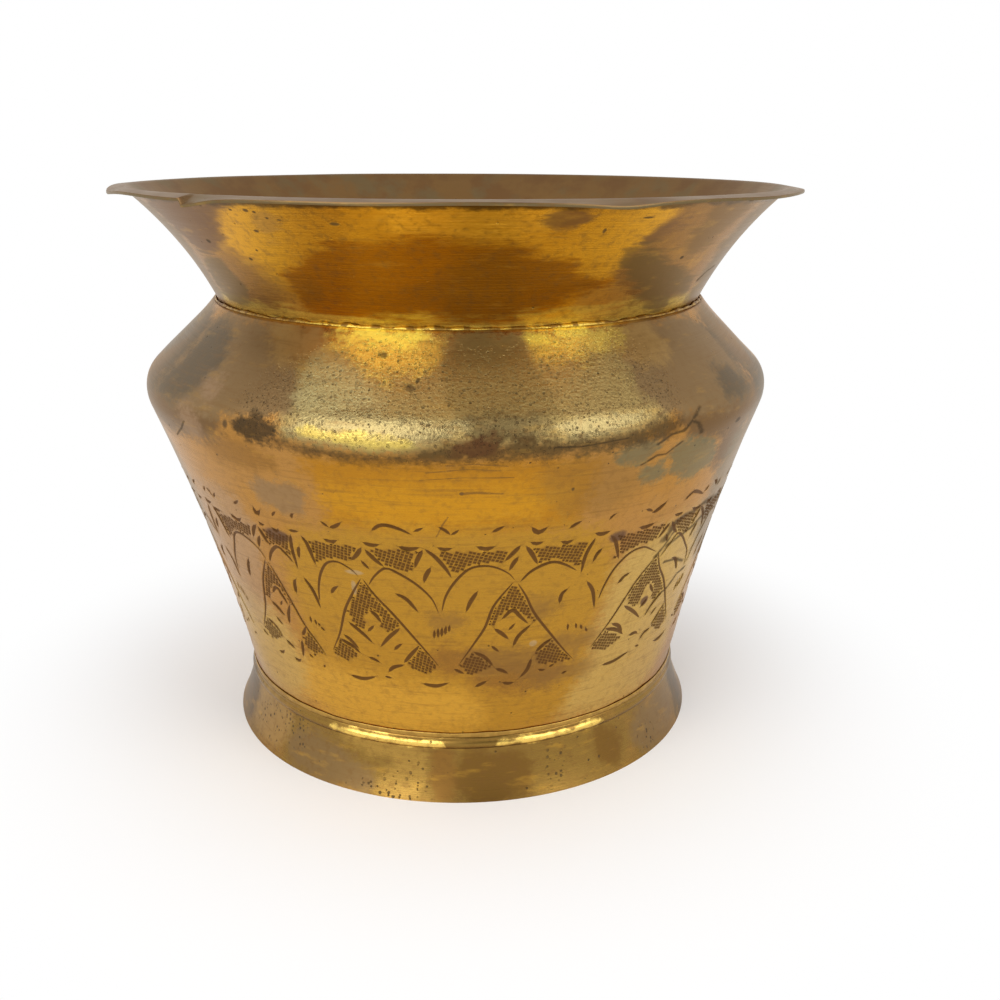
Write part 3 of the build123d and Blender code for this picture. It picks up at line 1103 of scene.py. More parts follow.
class Painter(Nodes):
    """Builds a brass in layers, each laid on by a mask over the angle and height of the spot."""

    def __init__(self, name, colour, rough, streak=(0.6, 0.6, 1.5), edge=(1.0, 1.0, 1.0)):
        self.material = bpy.data.materials.new(name)
        self.material.use_nodes = True
        super().__init__(self.material.node_tree)
        self.colour = colour
        self.rough = rough
        self.metal = 1.0
        self.edge = edge
        self.relief = 0.0
        self.where = self.node("TexCoord").outputs["Object"]
        spot = self.vector("SCALE", self.where, scale=1 / MM)
        x, y, self.height = self.node("SeparateXYZ", {0: spot}).outputs
        self.angle = self.math("DEGREES", self.math("ARCTAN2", x, self.math("MULTIPLY", y, -1.0)))
        self.round = self.node("CombineXYZ", {0: self.angle, 1: self.height}).outputs[0]
        self.ragged = self.noise(0.2, 9.0, stretch=streak)
        self.grain = self.noise(0.7, 6.0, stretch=[share ** 0.6 for share in streak], offset=55.0)

    def mapped(self, offset, stretch=(1, 1, 1)):
        """The spot in millimetres, stretched and then moved."""
        scale = [share / MM for share in stretch]
        return self.node("Mapping", {"Location": offset, "Scale": scale, "Vector": self.where}).outputs[0]

    def noise(self, scale, detail, stretch=(1, 1, 1), offset=0.0):
        """Even noise through space, at a number of features per millimetre."""
        spot = self.mapped((offset, offset * 0.7, -offset), stretch)
        node = self.node("TexNoise", {"Vector": spot, "Scale": scale, "Detail": detail, "Roughness": 0.6})
        return node.outputs["Fac"]

    def specks(self, spacing, size, offset=0.0):
        """Small round spots, a random one to each cell of a given spacing in millimetres."""
        spot = self.mapped((offset, offset, offset))
        node = self.node("TexVoronoi", {"Vector": spot, "Scale": 1 / spacing})
        luck = self.node("SeparateColor", {0: node.outputs["Color"]}).outputs[0]
        chance = self.math("MULTIPLY", luck, size / spacing)
        return self.eased(self.math("SUBTRACT", node.outputs["Distance"], chance), 0.0, -0.08)

    def stain(self, angle, height, half_angle, half_height, soft=0.35, ragged=0.9):
        """Mask of one ragged spot."""
        moved = self.vector("SUBTRACT", self.round, (angle, height, 0))
        gap = self.vector("LENGTH", self.vector("MULTIPLY", moved, (1 / half_angle, 1 / half_height, 0)))
        rag = self.math("MULTIPLY_ADD", self.ragged, ragged * 2, -ragged)
        return self.eased(self.math("ADD", gap, rag), 1.0 + soft, 1.0 - soft)

    def joined(self, whole, mask):
        """Two masks as one; the first may be None."""
        return mask if whole is None else self.math("MAXIMUM", whole, mask)

    def stains(self, marks, soft=0.35, ragged=0.9):
        """One mask of many spots, each (angle, height, half angle, half height)."""
        whole = None
        for mark in marks:
            whole = self.joined(whole, self.stain(*mark, soft=soft, ragged=ragged))
        return whole

    def attribute(self, name):
        """A number that the mesh tells at each of its points."""
        node = self.node("Attribute")
        node.attribute_name = name
        return node.outputs["Fac"]

    def patch(self, name, soft, wander):
        """Mask of the patches whose depth a mesh attribute tells, in millimetres, with uneven, ragged edges.
        """
        rag = self.math("MULTIPLY_ADD", self.ragged, 2 * wander, -wander)
        depth = self.math("ADD", self.attribute(name), rag)
        worn = self.math("MULTIPLY_ADD", self.grain, 2.4 * soft, -1.2 * soft)
        return self.eased(self.math("ADD", depth, worn), -soft, soft)

    def line(self, points, half, soft=0.5):
        """Mask of a thin ragged line through (angle, height) points."""
        whole = None
        for (a, b), (c, d) in zip(points, points[1:]):
            run = Vector((c - a, d - b, 0))
            moved = self.vector("SUBTRACT", self.round, (a, b, 0))
            share = self.vector("DOT_PRODUCT", moved, tuple(run / run.length_squared))
            share = self.math("MULTIPLY", share, 1.0, clamp=True)
            nearest = self.vector("SCALE", tuple(run), scale=share)
            gap = self.vector("LENGTH", self.vector("SUBTRACT", moved, nearest))
            wander = self.math("MULTIPLY_ADD", self.ragged, 3 * half, -1.5 * half)
            one = self.eased(self.math("ADD", gap, wander), half * (1 + soft), half * (1 - soft))
            whole = self.joined(whole, one)
        return whole

    def layer(self, colour, mask, amount=1.0, rough=None, metal=None):
        """Lay a colour on by a mask, with its own roughness and metallic share."""
        share = mask if amount == 1.0 else self.math("MULTIPLY", mask, amount)
        self.colour = self.mixed(share, self.colour, colour)
        if rough is not None:
            self.rough = self.mixed(share, self.rough, rough, "FLOAT")
        if metal is not None:
            self.metal = self.mixed(share, self.metal, metal, "FLOAT")

    def bump(self, height, distance):
        """Fine relief, in millimetres."""
        self.relief = self.math("MULTIPLY_ADD", height, distance, self.relief)

    def done(self):
        """The material; its edge colour tints what it reflects at a grazing angle."""
        bump = self.node("Bump", {"Distance": MM, "Height": self.relief})
        self.feed(self.nodes["Principled BSDF"], {
            "Base Color": self.colour,
            "Roughness": self.rough,
            "Metallic": self.metal,
            "Specular Tint": self.edge,
            "Normal": bump.outputs[0],
        })
        return self.material

    def worked(self, scratch=0.02, grain=0.02):
        """What all the sheet shares: lines left by turning and rubbing, fine grain and a streaky polish."""
        turning = self.noise(1.0, 4.0, stretch=(0.02, 0.02, 2.2))
        rubbing = self.noise(1.0, 3.0, stretch=(0.05, 0.05, 6.0), offset=40.0)
        fine = self.noise(1.2, 5.0, offset=9.0)
        self.bump(turning, scratch)
        self.bump(rubbing, scratch * 0.6)
        self.bump(fine, grain)
        self.rough = self.math("ADD", self.rough, self.math("MULTIPLY_ADD", rubbing, 0.16, -0.08))


def aged_back(paint, offset):
    """Cloudy tarnish on the sides and back, where the marks of the front run out."""
    behind = paint.eased(paint.math("ABSOLUTE", paint.angle), 58.0, 80.0)
    for k, (colour, amount) in enumerate(((OLIVE, 0.7), (SMOKE, 0.7), (COPPER, 0.6))):
        cloud = paint.eased(paint.noise(0.022, 7.0, offset=offset + 31.0 * k), 0.50, 0.62)
        paint.layer(colour, paint.math("MULTIPLY", behind, cloud), amount, rough=0.4)


# Patches seen on the front, in groups of (colour, amount, softness of edge, roughness,
# metallic share, outlines). Most are tarnish; those marked below are painted highlights, painted
# reflections and painted shade. An outline is drawn as (angle, height) points.

COLLAR_PATCHES = (
    (HONEY, 1.0, 3.0, 0.24, 1.0, (
        ((-34, 198), (-39, 190), (-41.6, 182), (-38, 177), (-33, 174), (-30, 168), (-33, 159),
         (33, 159), (31, 168), (30, 176), (34, 184), (37, 191), (35, 198)),)),
    # Bright amber in the middle of the collar's top: painted highlight that lifts the darker reflection there
    (AMBER_HIGHLIGHT, 0.85, 3.5, 0.24, 1.0, (
        ((-9, 199), (17, 199), (17, 188), (9, 186), (0, 187), (-8, 187)),)),
    (TAWNY, 0.8, 2.0, 0.3, 1.0, (
        ((24, 171), (33, 172), (38, 166), (35, 160), (25, 160)),
        ((-31, 187), (-28, 194), (-25, 194), (-26, 187), (-29, 184)),
        ((-36, 166), (-28, 167), (-26, 161), (-36, 161)))),
    # Dark patch across the front of the collar: partly stain, partly painted reflection
    (BROWN, 1.0, 2.2, 0.27, 1.0, (
        ((-32, 175), (-26, 178), (-24.5, 181), (-21, 183), (-19, 185), (-12, 185), (-8, 185.6),
         (-3, 186.4), (1, 186.4), (4, 185.4), (9, 185), (12, 183.4), (15, 182), (17, 179.4), (21, 179),
         (23, 176.4), (27, 174), (32, 173), (27, 170.4), (22, 167), (17, 162.4), (13, 156), (0, 156),
         (-20, 156), (-31, 156), (-30, 164), (-30, 171)),)),
    (BARK, 0.7, 3.5, 0.27, 1.0, (
        ((-17, 156), (-15, 166), (-8, 171), (-2, 175), (3, 180), (9, 184), (15, 181.6), (19, 179.6),
         (22, 176), (28, 173), (23, 169), (17, 165), (8, 160), (4, 156)),
        ((-31, 173), (-27, 174), (-23, 171), (-25, 164), (-30, 164)))),
    (GOLD, 0.65, 2.0, None, None, (
        ((-62, 164), (-40, 163.6), (-20, 162.4), (0, 161.6), (20, 162.6), (40, 165), (62, 164),
         (62, 156), (-62, 156)),)),
    (PURPLE, 0.8, 2.0, 0.34, 0.9, (
        ((-57, 198), (-32, 198), (-33, 194.4), (-36.6, 191), (-40, 186), (-44, 180), (-52, 177),
         (-57, 186)),
        ((14.6, 194.4), (19, 195.4), (21.4, 192.4), (19.6, 187.6), (16.4, 187.6), (14.8, 190.4)),
        ((34, 189), (36.4, 191.6), (41, 192), (40, 189), (37, 187.6), (34.6, 184), (33.4, 184)))),
    (GREY, 0.85, 1.8, 0.34, 0.85, (
        ((-57, 174), (-53, 177), (-46, 177), (-45, 172), (-43.6, 168), (-46, 162), (-52, 160.6),
         (-57, 163), (-59, 168)),
        ((30, 181.6), (35, 182), (39, 180), (44, 177), (49, 174.6), (54, 171.6), (58.4, 168),
         (57.4, 164.4), (52, 164.4), (50, 161.4), (45, 160.4), (42, 164), (38, 169), (34, 173),
         (31, 177)))),
    (MOSS, 0.8, 3.0, 0.32, 1.0, (
        ((43, 197), (56, 197), (55, 186), (50, 178), (46, 178.6), (44, 186)),)),
    (GREY, 0.8, 4.0, 0.32, 1.0, (
        ((-80, 198), (-60, 198), (-57, 186), (-60, 172), (-60, 158), (-80, 158)),
        ((80, 198), (61, 198), (58, 184), (61, 172), (60, 158), (80, 158)))),
)
COLLAR_PITS = (
    (-30, 193, 0.45, 0.45), (-28.6, 192.6, 0.3, 0.35), (-33, 193, 0.3, 0.3), (-31, 187, 0.5, 0.4),
    (-27, 191, 0.3, 0.3), (-25, 190.6, 0.4, 0.25), (-46, 182.5, 0.6, 0.6), (53, 195, 0.9, 0.4),
    (46, 178, 0.5, 0.5), (-37, 178, 0.4, 0.4), (31, 191.4, 0.9, 0.3), (22, 196.6, 4, 0.7),
    (24.4, 188, 0.3, 0.7), (-34, 181, 0.3, 0.3), (-16, 190, 0.8, 0.5),
)
COLLAR_CRACKS = (
    (((60, 168.6), (62.5, 171.2), (66, 172.4)), 0.45),
    (((CRACK_ANGLE, 197.5), (CRACK_ANGLE + 0.3, 195.5), (CRACK_ANGLE - 0.5, 193.8)), 0.3),
)

BODY_PATCHES = (
    (AMBER, 1.0, 4.0, None, None, (
        ((-24, 127), (24, 127), (24, 118), (23, 106), (20, 98), (-22, 98), (-20, 108), (-22, 118)),)),
    (OCHRE, 1.0, 5.0, None, None, (
        ((-26, 103), (24, 103), (30, 92), (34, 78), (30, 62), (32, 40), (26, 20), (-34, 20), (-36, 44),
         (-33, 62), (-34, 84)),)),
    (HONEY, 0.5, 5.0, None, None, (
        ((-22, 118), (18, 117), (20, 110), (6, 103), (-20, 104)),)),
    (STRAW, 0.85, 6.0, None, None, (
        ((-44, 48), (-34, 45), (-20, 44), (-2, 43), (6, 38), (6, 22), (-44, 22)),)),
    (SAND, 0.9, 6.0, None, None, (
        ((34, 92), (64, 96), (64, 22), (25, 22), (26, 32), (29, 40), (31, 52), (32, 72)),
        ((-64, 66), (-42, 62), (-36, 50), (-38, 22), (-64, 22)))),
    (COPPER, 0.85, 4.0, None, None, (
        ((-47, 126), (-33, 128), (-27, 122), (-32, 116), (-42, 117)),
        ((-4, 60), (6, 58), (8, 50), (2, 46), (-5, 50)),
        ((2, 54), (16, 54), (26, 48), (22, 39), (4, 40)))),
    (MUD, 0.45, 4.0, None, None, (
        ((14, 126), (30, 126), (34, 110), (26, 104), (15, 108)),)),
    (LOAM, 0.9, 3.0, 0.34, 0.85, (
        ((-84, 137), (-47, 137), (-38, 134), (-37, 128), (-46, 122), (-84, 120)),
        ((37, 137), (84, 138), (84, 122), (48, 120), (40, 127)),
        ((50, 124), (64, 126), (62, 108), (54, 108)))),
    (SATIN, 1.0, 3.0, 0.3, 0.75, (
        ((-30, 158.6), (34, 158.6), (40, 150), (38, 140), (36, 131), (24, 127.6), (-24, 127.6),
         (-27, 134)),)),
    (TAUPE, 0.95, 2.5, 0.38, 0.75, (
        ((-66, 159), (-37, 159), (-32, 152), (-27, 148), (-25, 144), (-23.6, 138), (-26, 134.6),
         (-36, 132), (-66, 131)),
        ((34, 159), (66, 159), (66, 131), (44, 132), (36, 135), (32, 140), (33, 148)))),
    (CLAY, 0.9, 2.5, 0.34, 0.8, (
        ((-40, 158.6), (-24, 158.6), (-22.6, 153), (-26, 149.6), (-31, 147), (-35.6, 152)),
        ((31, 158.6), (43, 158.6), (46, 153), (43, 147), (36, 147), (31, 152)))),
    (SAGE, 0.8, 3.0, 0.34, 0.75, (
        ((-25, 151.6), (-20, 152), (-16, 149), (-12, 144.6), (-9, 140), (-14, 137.4), (-20, 136.4),
         (-24, 138), (-25, 144)),)),
    (LICHEN, 0.8, 1.6, 0.34, 0.85, (
        ((38, 125), (46, 125), (52, 118), (50, 110), (44, 109), (39, 116)),
        ((26, 127), (35, 128.6), (35.4, 122), (32, 119), (27, 121.6)),
        ((32, 119), (37, 120), (38.4, 113), (33, 111.6)))),
    # Gold and lemon at the top of the shoulder, under the neck: painted highlight
    (GOLD, 0.95, 3.0, 0.22, 0.65, (
        ((-25, 159), (0, 159), (-0.6, 153), (-4, 149.4), (-7, 147.6), (-11, 146.4), (-14, 149),
         (-18, 152), (-22.4, 154)),
        ((14.4, 159), (37, 159), (34, 153.6), (26, 151), (18, 150.6), (14.4, 150.6)))),
    (LEMON_HIGHLIGHT, 1.0, 2.4, 0.18, 0.5, (
        ((-22, 159.4), (-5, 159.4), (-5, 155.4), (-10, 154), (-15, 154.8), (-21, 156.4)),)),
    (LEMON_HIGHLIGHT, 0.75, 2.4, 0.18, 0.6, (
        ((14.6, 159.4), (29, 159.4), (25, 156.2), (19, 155), (14.6, 154.6)),)),
    # Dark strip down the middle of the shoulder, darkest where it meets the turn: painted reflection
    (STRIP_REFLECTION, 0.95, 1.6, 0.3, 0.8, (
        ((0, 158), (13.8, 158), (15, 150), (16, 143), (19, 137), (19.4, 131), (3.4, 131), (3, 136),
         (0, 140), (-1, 147)),)),
    (STRIP_REFLECTION_DEEP, 0.95, 2.0, 0.32, 0.85, (
        ((3, 138.6), (15, 138.6), (16.4, 131), (2, 131)),)),
    (SLATE, 0.85, 2.5, 0.36, 0.8, (
        ((-62, 155), (-52, 155), (-47, 151), (-45, 147), (-45.6, 141), (-49, 134.6), (-55, 132),
         (-61, 134), (-59, 141), (-57.6, 148)),
        ((54, 144), (60, 142), (64, 136), (58, 132), (51, 134)))),
    (ASH, 0.9, 3.0, 0.34, 0.85, (
        ((-82, 158), (-63, 158), (-59.6, 148), (-61, 140), (-64, 128), (-82, 124)),
        ((82, 158), (62, 158), (65, 140), (66, 128), (82, 124)))),
    (VEIL, 0.8, 5.0, 0.34, 0.9, (
        ((-82, 126), (-64, 126), (-60, 108), (-58, 84), (-66, 70), (-82, 64)),)),
    (DRAB, 0.8, 5.0, 0.34, 0.9, (
        ((82, 126), (60, 126), (56, 108), (56, 84), (64, 70), (82, 64)),)),
    # Pale yellow where the softboxes shine on the shoulder's turn: painted highlight
    (TURN_HIGHLIGHT, 0.9, 1.4, 0.16, 1.0, (
        ((-25, 131), (-23.4, 135.4), (-18, 137.4), (-12, 138.2), (-5, 138.4), (1, 137), (4, 134.6),
         (2, 132.2), (-2.4, 131.6), (-4.4, 129.2), (-10, 128.2), (-16, 129), (-21, 130)),
        ((16, 133.6), (18, 136.6), (22, 136.4), (30, 137.2), (33.6, 135), (31, 132.6), (26, 131.4),
         (20, 130.8), (17, 131.8)))),
    # Gold just under the left highlight on the turn: painted highlight
    (GOLD, 0.75, 1.6, 0.2, 0.6, (
        ((-23, 132.6), (-21, 130.8), (-16, 129.4), (-10, 128.6), (-4, 129.4), (-4, 132), (-12, 133),
         (-20, 134)),)),
    (PINK, 0.5, 3.0, 0.32, 0.9, (
        ((-50, 134), (-45, 134), (-43, 128), (-45, 122), (-49, 126)),
        ((-47, 142), (-42, 142), (-40, 137), (-44, 135)),
        ((-56, 104), (-44, 108), (-38, 100), (-40, 84), (-44, 60), (-50, 50), (-58, 60), (-60, 88)))),
    # Dark band under the turn's highlights: painted reflection
    (DARK_SHADE_AND_REFLECTION, 0.85, 2.6, 0.34, 0.85, (
        ((-28, 130), (-22, 128.6), (-14, 127.4), (-6, 127.6), (-2.4, 130.4), (2, 132.6), (13, 132.6),
         (16, 131), (22, 130.2), (29, 131.4), (32, 133.4), (38, 133.6), (39, 129), (33, 126.4),
         (24, 126.6), (16, 126), (8, 125), (2, 125), (-8, 124.6), (-18, 125.4), (-27, 126.6)),)),
    # Reddish spot in the middle under the turn, darkened further as painted reflection
    (RUST_AND_REFLECTION, 0.6, 1.8, 0.36, 0.85, (
        ((0.6, 132.6), (7, 132.8), (9, 128), (4, 126.4), (0.6, 127.8)),)),
    (SMOKE, 0.7, 2.2, 0.36, 0.85, (
        ((-35, 113), (-29, 115), (-24, 113.6), (-23.6, 108), (-25.6, 103.4), (-31, 103.4), (-35, 107)),)),
    (MUD, 0.65, 3.5, 0.34, 0.9, (
        ((-5, 72), (2, 71), (3, 66), (-3, 64)),
        ((14, 74), (20, 76), (21, 69), (16, 66)),
        ((19, 60), (30, 60), (32, 54), (24, 51), (18, 55)),
        ((14, 48), (32, 48), (34, 42), (22, 39), (14, 42)),
        ((1, 57), (13, 58), (24, 55), (22, 47), (5, 46)))),
    (SOOT, 0.9, 1.4, 0.4, 0.85, (
        ((-35.6, 131.8), (-33, 136), (-29, 136), (-26, 131.6), (-27.2, 128), (-31, 126.8),
         (-34.4, 128.6)),)),
)
PITTED_ZONE = ((-36, 131), (-32, 144), (-20, 152), (-8, 158), (0, 150), (14, 150), (20, 158), (32, 154),
               (40, 146), (38, 132), (24, 128), (-20, 128))
BODY_SPOTS = ((-11.5, 152.2, 0.8, 0.8), (-6, 144.5, 0.9, 0.9), (-4.8, 146.5, 0.4, 0.6), (56, 126, 1, 0.8),
              (2.2, 115, 0.3, 0.5), (20, 114.4, 0.3, 0.6), (-36.6, 131, 0.5, 1.2))
BODY_CRACKS = (
    (((34.5, 125.6), (37, 128), (39.6, 128.4), (41.4, 131), (43.6, 134.4)), 0.4),
    (((41.4, 131), (43, 129.6), (44, 126.4)), 0.5),
    (((32, 119.4), (35, 121.6), (37, 121.4), (40, 124.6)), 0.3),
    (((16, 129), (20, 128.6), (28, 129.4)), 0.25),
    (((-54, 121), (-50, 125), (-48, 128)), 0.25),
    (((44.6, 88), (46, 93), (49, 94.4), (52.5, 94.8)), 1.1),
    (((52.5, 94.8), (56, 96), (59.5, 95.4), (66, 94)), 0.9),
    (((46, 85), (50, 86.6), (53.5, 87.6), (58.5, 91), (62, 92)), 0.7),
    (((43, 82), (45.6, 86.4), (47, 90)), 0.5),
    (((47, 78), (51, 77), (55.5, 74)), 0.45),
    (((49, 64), (52, 66), (54.5, 69.5), (58, 70)), 0.5),
)
BODY_SCRATCHES = (
    (((2.3, 115), (4.5, 115.3), (8.4, 114.7)), 0.3),
    (((-4, 119.5), (2, 120.4), (10, 120)), 0.16),
    (((-3, 122), (3, 123.2), (8, 122.4)), 0.16),
    (((0, 124.4), (4, 124.8), (9, 123.8)), 0.14),
    (((-2, 100), (-1, 104), (0, 107)), 0.12),
)
BAND_MARKS = (
    (PURPLE, 0.95, ((31, 94.6, 1.8, 2.0), (43.8, 64.5, 1.1, 1.7), (-33, 94, 3, 2.5))),
    (CHALK, 0.4, ((-18.2, 79, 0.5, 2.6), (-17.6, 85, 1.6, 0.8), (16.7, 58, 0.8, 1.1))),
)

FOOT_PATCHES = (
    (OLIVE, 1.0, 2.0, 0.28, 1.0, (
        ((-44, 22), (44, 22), (46, 10), (44, 0), (-44, 0), (-46, 10)),)),
    (KHAKI, 0.7, 2.6, 0.26, 1.0, (
        ((-30, 22), (-6, 22), (-5.6, 1), (-18, 0), (-17, 7), (-13, 12), (-22, 13), (-28, 16)),)),
    (TAUPE, 0.8, 2.8, 0.34, 0.9, (
        ((-42, 14), (-30, 14.6), (-24, 10), (-18, 6), (-18.6, -1), (-42, -1), (-45, 6)),
        ((46, 16), (66, 16), (70, 8), (64, -1), (48, -1)))),
    # Brown and dark strips down the middle of the foot: painted reflection; the smaller moss patch at the
    # right is a darker olive tone
    (RUSSET, 0.9, 2.2, 0.3, 1.0, (
        ((-5.4, 17.4), (0.6, 17.4), (1, -1), (-5, -1)),)),
    (MOSS, 0.85, 2.4, 0.3, 1.0, (
        ((0.6, 17), (14, 16), (18.4, 11), (17.4, -1), (0.6, -1)),
        ((34, 17), (42, 16), (43, 4), (36, 2)))),
    (CLAY, 0.7, 2.5, 0.34, 0.9, (
        ((-64, 20), (-46, 20), (-44, 12), (-47, 2), (-64, 2)),)),
    (ASH, 0.85, 3.0, 0.34, 0.9, (
        ((-84, 22), (-66, 22), (-64, 10), (-66, -1), (-84, -1)),
        ((84, 22), (70, 22), (72, 10), (68, -1), (84, -1)))),
    # Bright line along the bead, left and right of the middle: painted highlight
    (BEAD_HIGHLIGHT, 0.9, 0.8, 0.2, 1.0, (
        ((-32, 20), (-18, 20.2), (-2.6, 20), (-2, 17.4), (-30, 17.6)),
        ((11, 20), (38, 20), (36, 17.6), (10, 17.4)))),
)
FOOT_PITS = ((-15, 2, 7, 4), (-8, 7, 3, 5), (24, 8, 3, 6), (-43, 12, 5, 6), (-52, 9, 8, 6), (52, 6, 4, 4))


def laid(paint, groups, soft, ragged, rough=None, metal=None):
    """Lay groups of spots on, one colour at a time."""
    for colour, amount, marks in groups:
        paint.layer(colour, paint.stains(marks, soft, ragged), amount, rough, metal)


def patched(paint, groups, wander):
    """Lay the drawn patches on; their edges wander by a few millimetres."""
    for k, (colour, amount, soft, rough, metal, _) in enumerate(groups):
        paint.layer(colour, paint.patch(f"patch_{k}", soft, wander), amount, rough, metal)


def cracked(paint, cracks, colour=SOOT, amount=0.8):
    """Fine cracks, broken here and there."""
    whole = None
    for points, half in cracks:
        whole = paint.joined(whole, paint.line(points, half, 0.9))
    broken = paint.eased(paint.noise(0.9, 4.0, offset=61.0), 0.28, 0.42)
    paint.layer(colour, paint.math("MULTIPLY", whole, broken), amount, rough=0.55)


def pitted(paint, spacing, size, amount, offset=0.0, where=None, deep=0.22):
    """Small corrosion pits, dark and sunk."""
    pits = paint.specks(spacing, size, offset)
    if where is not None:
        pits = paint.math("MULTIPLY", pits, where)
    paint.layer(SOOT, pits, amount, rough=0.6, metal=0.7)
    paint.bump(paint.math("SUBTRACT", 1.0, pits), deep)


def dull_inside(paint):
    """The inside is left as it was made, brown and dull."""
    within = paint.attribute("inside")
    paint.layer(TOBACCO, within, 0.95, rough=0.36)
    cloud = paint.eased(paint.noise(0.07, 7.0, offset=80.0), 0.42, 0.6)
    paint.layer(PURPLE, paint.math("MULTIPLY", within, cloud), 0.4, rough=0.42)
    pale = paint.eased(paint.noise(0.05, 7.0, offset=140.0), 0.5, 0.66)
    paint.layer(PEWTER, paint.math("MULTIPLY", within, pale), 0.7, rough=0.4)


def mottled(paint, blotches, rubs):
    """Uneven tone of old polish: fine blotches and lines rubbed along the sheet."""
    blotch = paint.eased(paint.noise(0.45, 7.0, offset=21.0), 0.46, 0.72)
    paint.layer(UMBER, blotch, blotches)
    rubbed = paint.eased(paint.noise(0.6, 6.0, stretch=(0.1, 0.1, 1.6), offset=71.0), 0.5, 0.72)
    paint.layer(UMBER, rubbed, rubs)
    bright = paint.eased(paint.noise(0.3, 7.0, stretch=(0.3, 0.3, 1.2), offset=91.0), 0.55, 0.75)
    paint.layer(STRAW, bright, 0.6 * blotches)


def collar_brass():
    paint = Painter("collar_brass", COPPER, 0.26, (0.16, 0.16, 1.5), GRAZED)
    cloud = paint.eased(paint.noise(0.03, 6.0, offset=3.0), 0.45, 0.7)
    paint.layer(HONEY, cloud, 0.4)
    patched(paint, COLLAR_PATCHES, 7.0)
    aged_back(paint, 100.0)
    paint.layer(SOOT, paint.stains(COLLAR_PITS, 0.4, 0.5), 0.8, rough=0.6, metal=0.7)
    cracked(paint, COLLAR_CRACKS)
    uneven = paint.noise(0.16, 8.0, stretch=(0.8, 0.8, 1.2), offset=17.0)
    # Darker at the collar's foot, where it meets the neck: painted shade
    crevice_shade = paint.math("MULTIPLY_ADD", uneven, 18.0, paint.height)
    paint.layer(SOOT, paint.eased(crevice_shade, 167.0, 165.6), 0.45, rough=0.5)
    # Dark line just under the lip: painted shadow
    lip_shadow = paint.math("MULTIPLY_ADD", uneven, 5.0, paint.height)
    paint.layer(DARK_SHADE_AND_REFLECTION, paint.eased(lip_shadow, RIM_TOP - 1.2, RIM_TOP + 0.2), 0.85)
    reach = paint.vector("LENGTH", paint.vector("MULTIPLY", paint.where, (1 / MM, 1 / MM, 0.0)))
    lip = paint.eased(reach, COLLAR_TOP_RADIUS + 0.6, COLLAR_TOP_RADIUS + 1.6)
    paint.layer(PEWTER, lip, 0.95, rough=0.36)
    mottled(paint, 0.45, 0.2)
    dull_inside(paint)
    pitted(paint, 5.0, 0.5, 0.7)
    paint.worked()
    return paint.done()


def body_brass():
    paint = Painter("body_brass", TAN, 0.26, (0.8, 0.8, 1.2), GRAZED)
    cloud = paint.eased(paint.noise(0.03, 6.0, offset=5.0), 0.45, 0.7)
    paint.layer(AMBER, cloud, 0.5)
    patched(paint, BODY_PATCHES, 5.0)
    aged_back(paint, 300.0)
    laid(paint, BAND_MARKS, 0.3, 0.5, rough=0.5, metal=0.7)
    paint.layer(SOOT, paint.stains(BODY_SPOTS, 0.4, 0.5), 0.75, rough=0.5, metal=0.7)
    cracked(paint, BODY_CRACKS)
    cracked(paint, BODY_SCRATCHES, UMBER, 0.7)
    mottled(paint, 0.3, 0.35)
    dull_inside(paint)
    pitted(paint, 4.0, 0.5, 0.75)
    dense = paint.eased(paint.attribute("pitted_zone"), -6.0, 4.0)
    pitted(paint, 1.0, 0.55, 0.25, offset=15.0, where=dense, deep=0.4)
    pitted(paint, 1.9, 0.55, 0.45, offset=35.0, where=dense, deep=0.5)
    paint.layer(GROOVE, paint.eased(paint.attribute("recess"), 0.08, 0.34), 0.9, rough=0.5, metal=0.85)
    paint.worked(grain=paint.math("MULTIPLY_ADD", dense, 0.18, 0.02))
    return paint.done()


def foot_brass():
    paint = Painter("foot_brass", OLIVE, 0.28, (0.7, 0.7, 1.0))
    cloud = paint.eased(paint.noise(0.05, 6.0, offset=13.0), 0.42, 0.68)
    paint.layer(TAN, cloud, 0.4)
    patched(paint, FOOT_PATCHES, 4.0)
    aged_back(paint, 500.0)
    mottled(paint, 0.5, 0.3)
    dull_inside(paint)
    pitted(paint, 3.6, 0.6, 0.7)
    pitted(paint, 1.5, 0.65, 0.75, offset=25.0, where=paint.stains(FOOT_PITS, 0.6, 0.8), deep=0.3)
    paint.worked()
    return paint.done()


def base_brass():
    paint = Painter("base_brass", OLIVE, 0.4)
    paint.layer(UMBER, paint.eased(paint.noise(0.08, 6.0, offset=23.0), 0.4, 0.65), 0.8, rough=0.55)
    paint.layer(ASH, paint.eased(paint.noise(0.2, 6.0, offset=43.0), 0.58, 0.7), 0.6, rough=0.6)
    pitted(paint, 4.0, 0.8, 0.7)
    paint.worked()
    return paint.done()


def solder_metal():
    paint = Painter("solder", KHAKI, 0.34)
    # Gold on the neck seam in front only: painted highlight
    front_highlight = paint.eased(paint.math("ABSOLUTE", paint.angle), 36.0, 24.0)
    at_neck = paint.eased(paint.height, 100.0, 110.0)
    paint.layer(GOLD, paint.math("MULTIPLY", front_highlight, at_neck), 1.0)
    spots = paint.eased(paint.noise(0.3, 6.0, offset=33.0), 0.46, 0.56)
    strength = paint.math("MULTIPLY_ADD", at_neck, 0.55, 0.3)
    paint.layer(UMBER, paint.math("MULTIPLY", spots, strength), rough=0.5)
    paint.bump(paint.noise(1.5, 4.0, offset=50.0), 0.15)
    return paint.done()


# Floor, light and camera

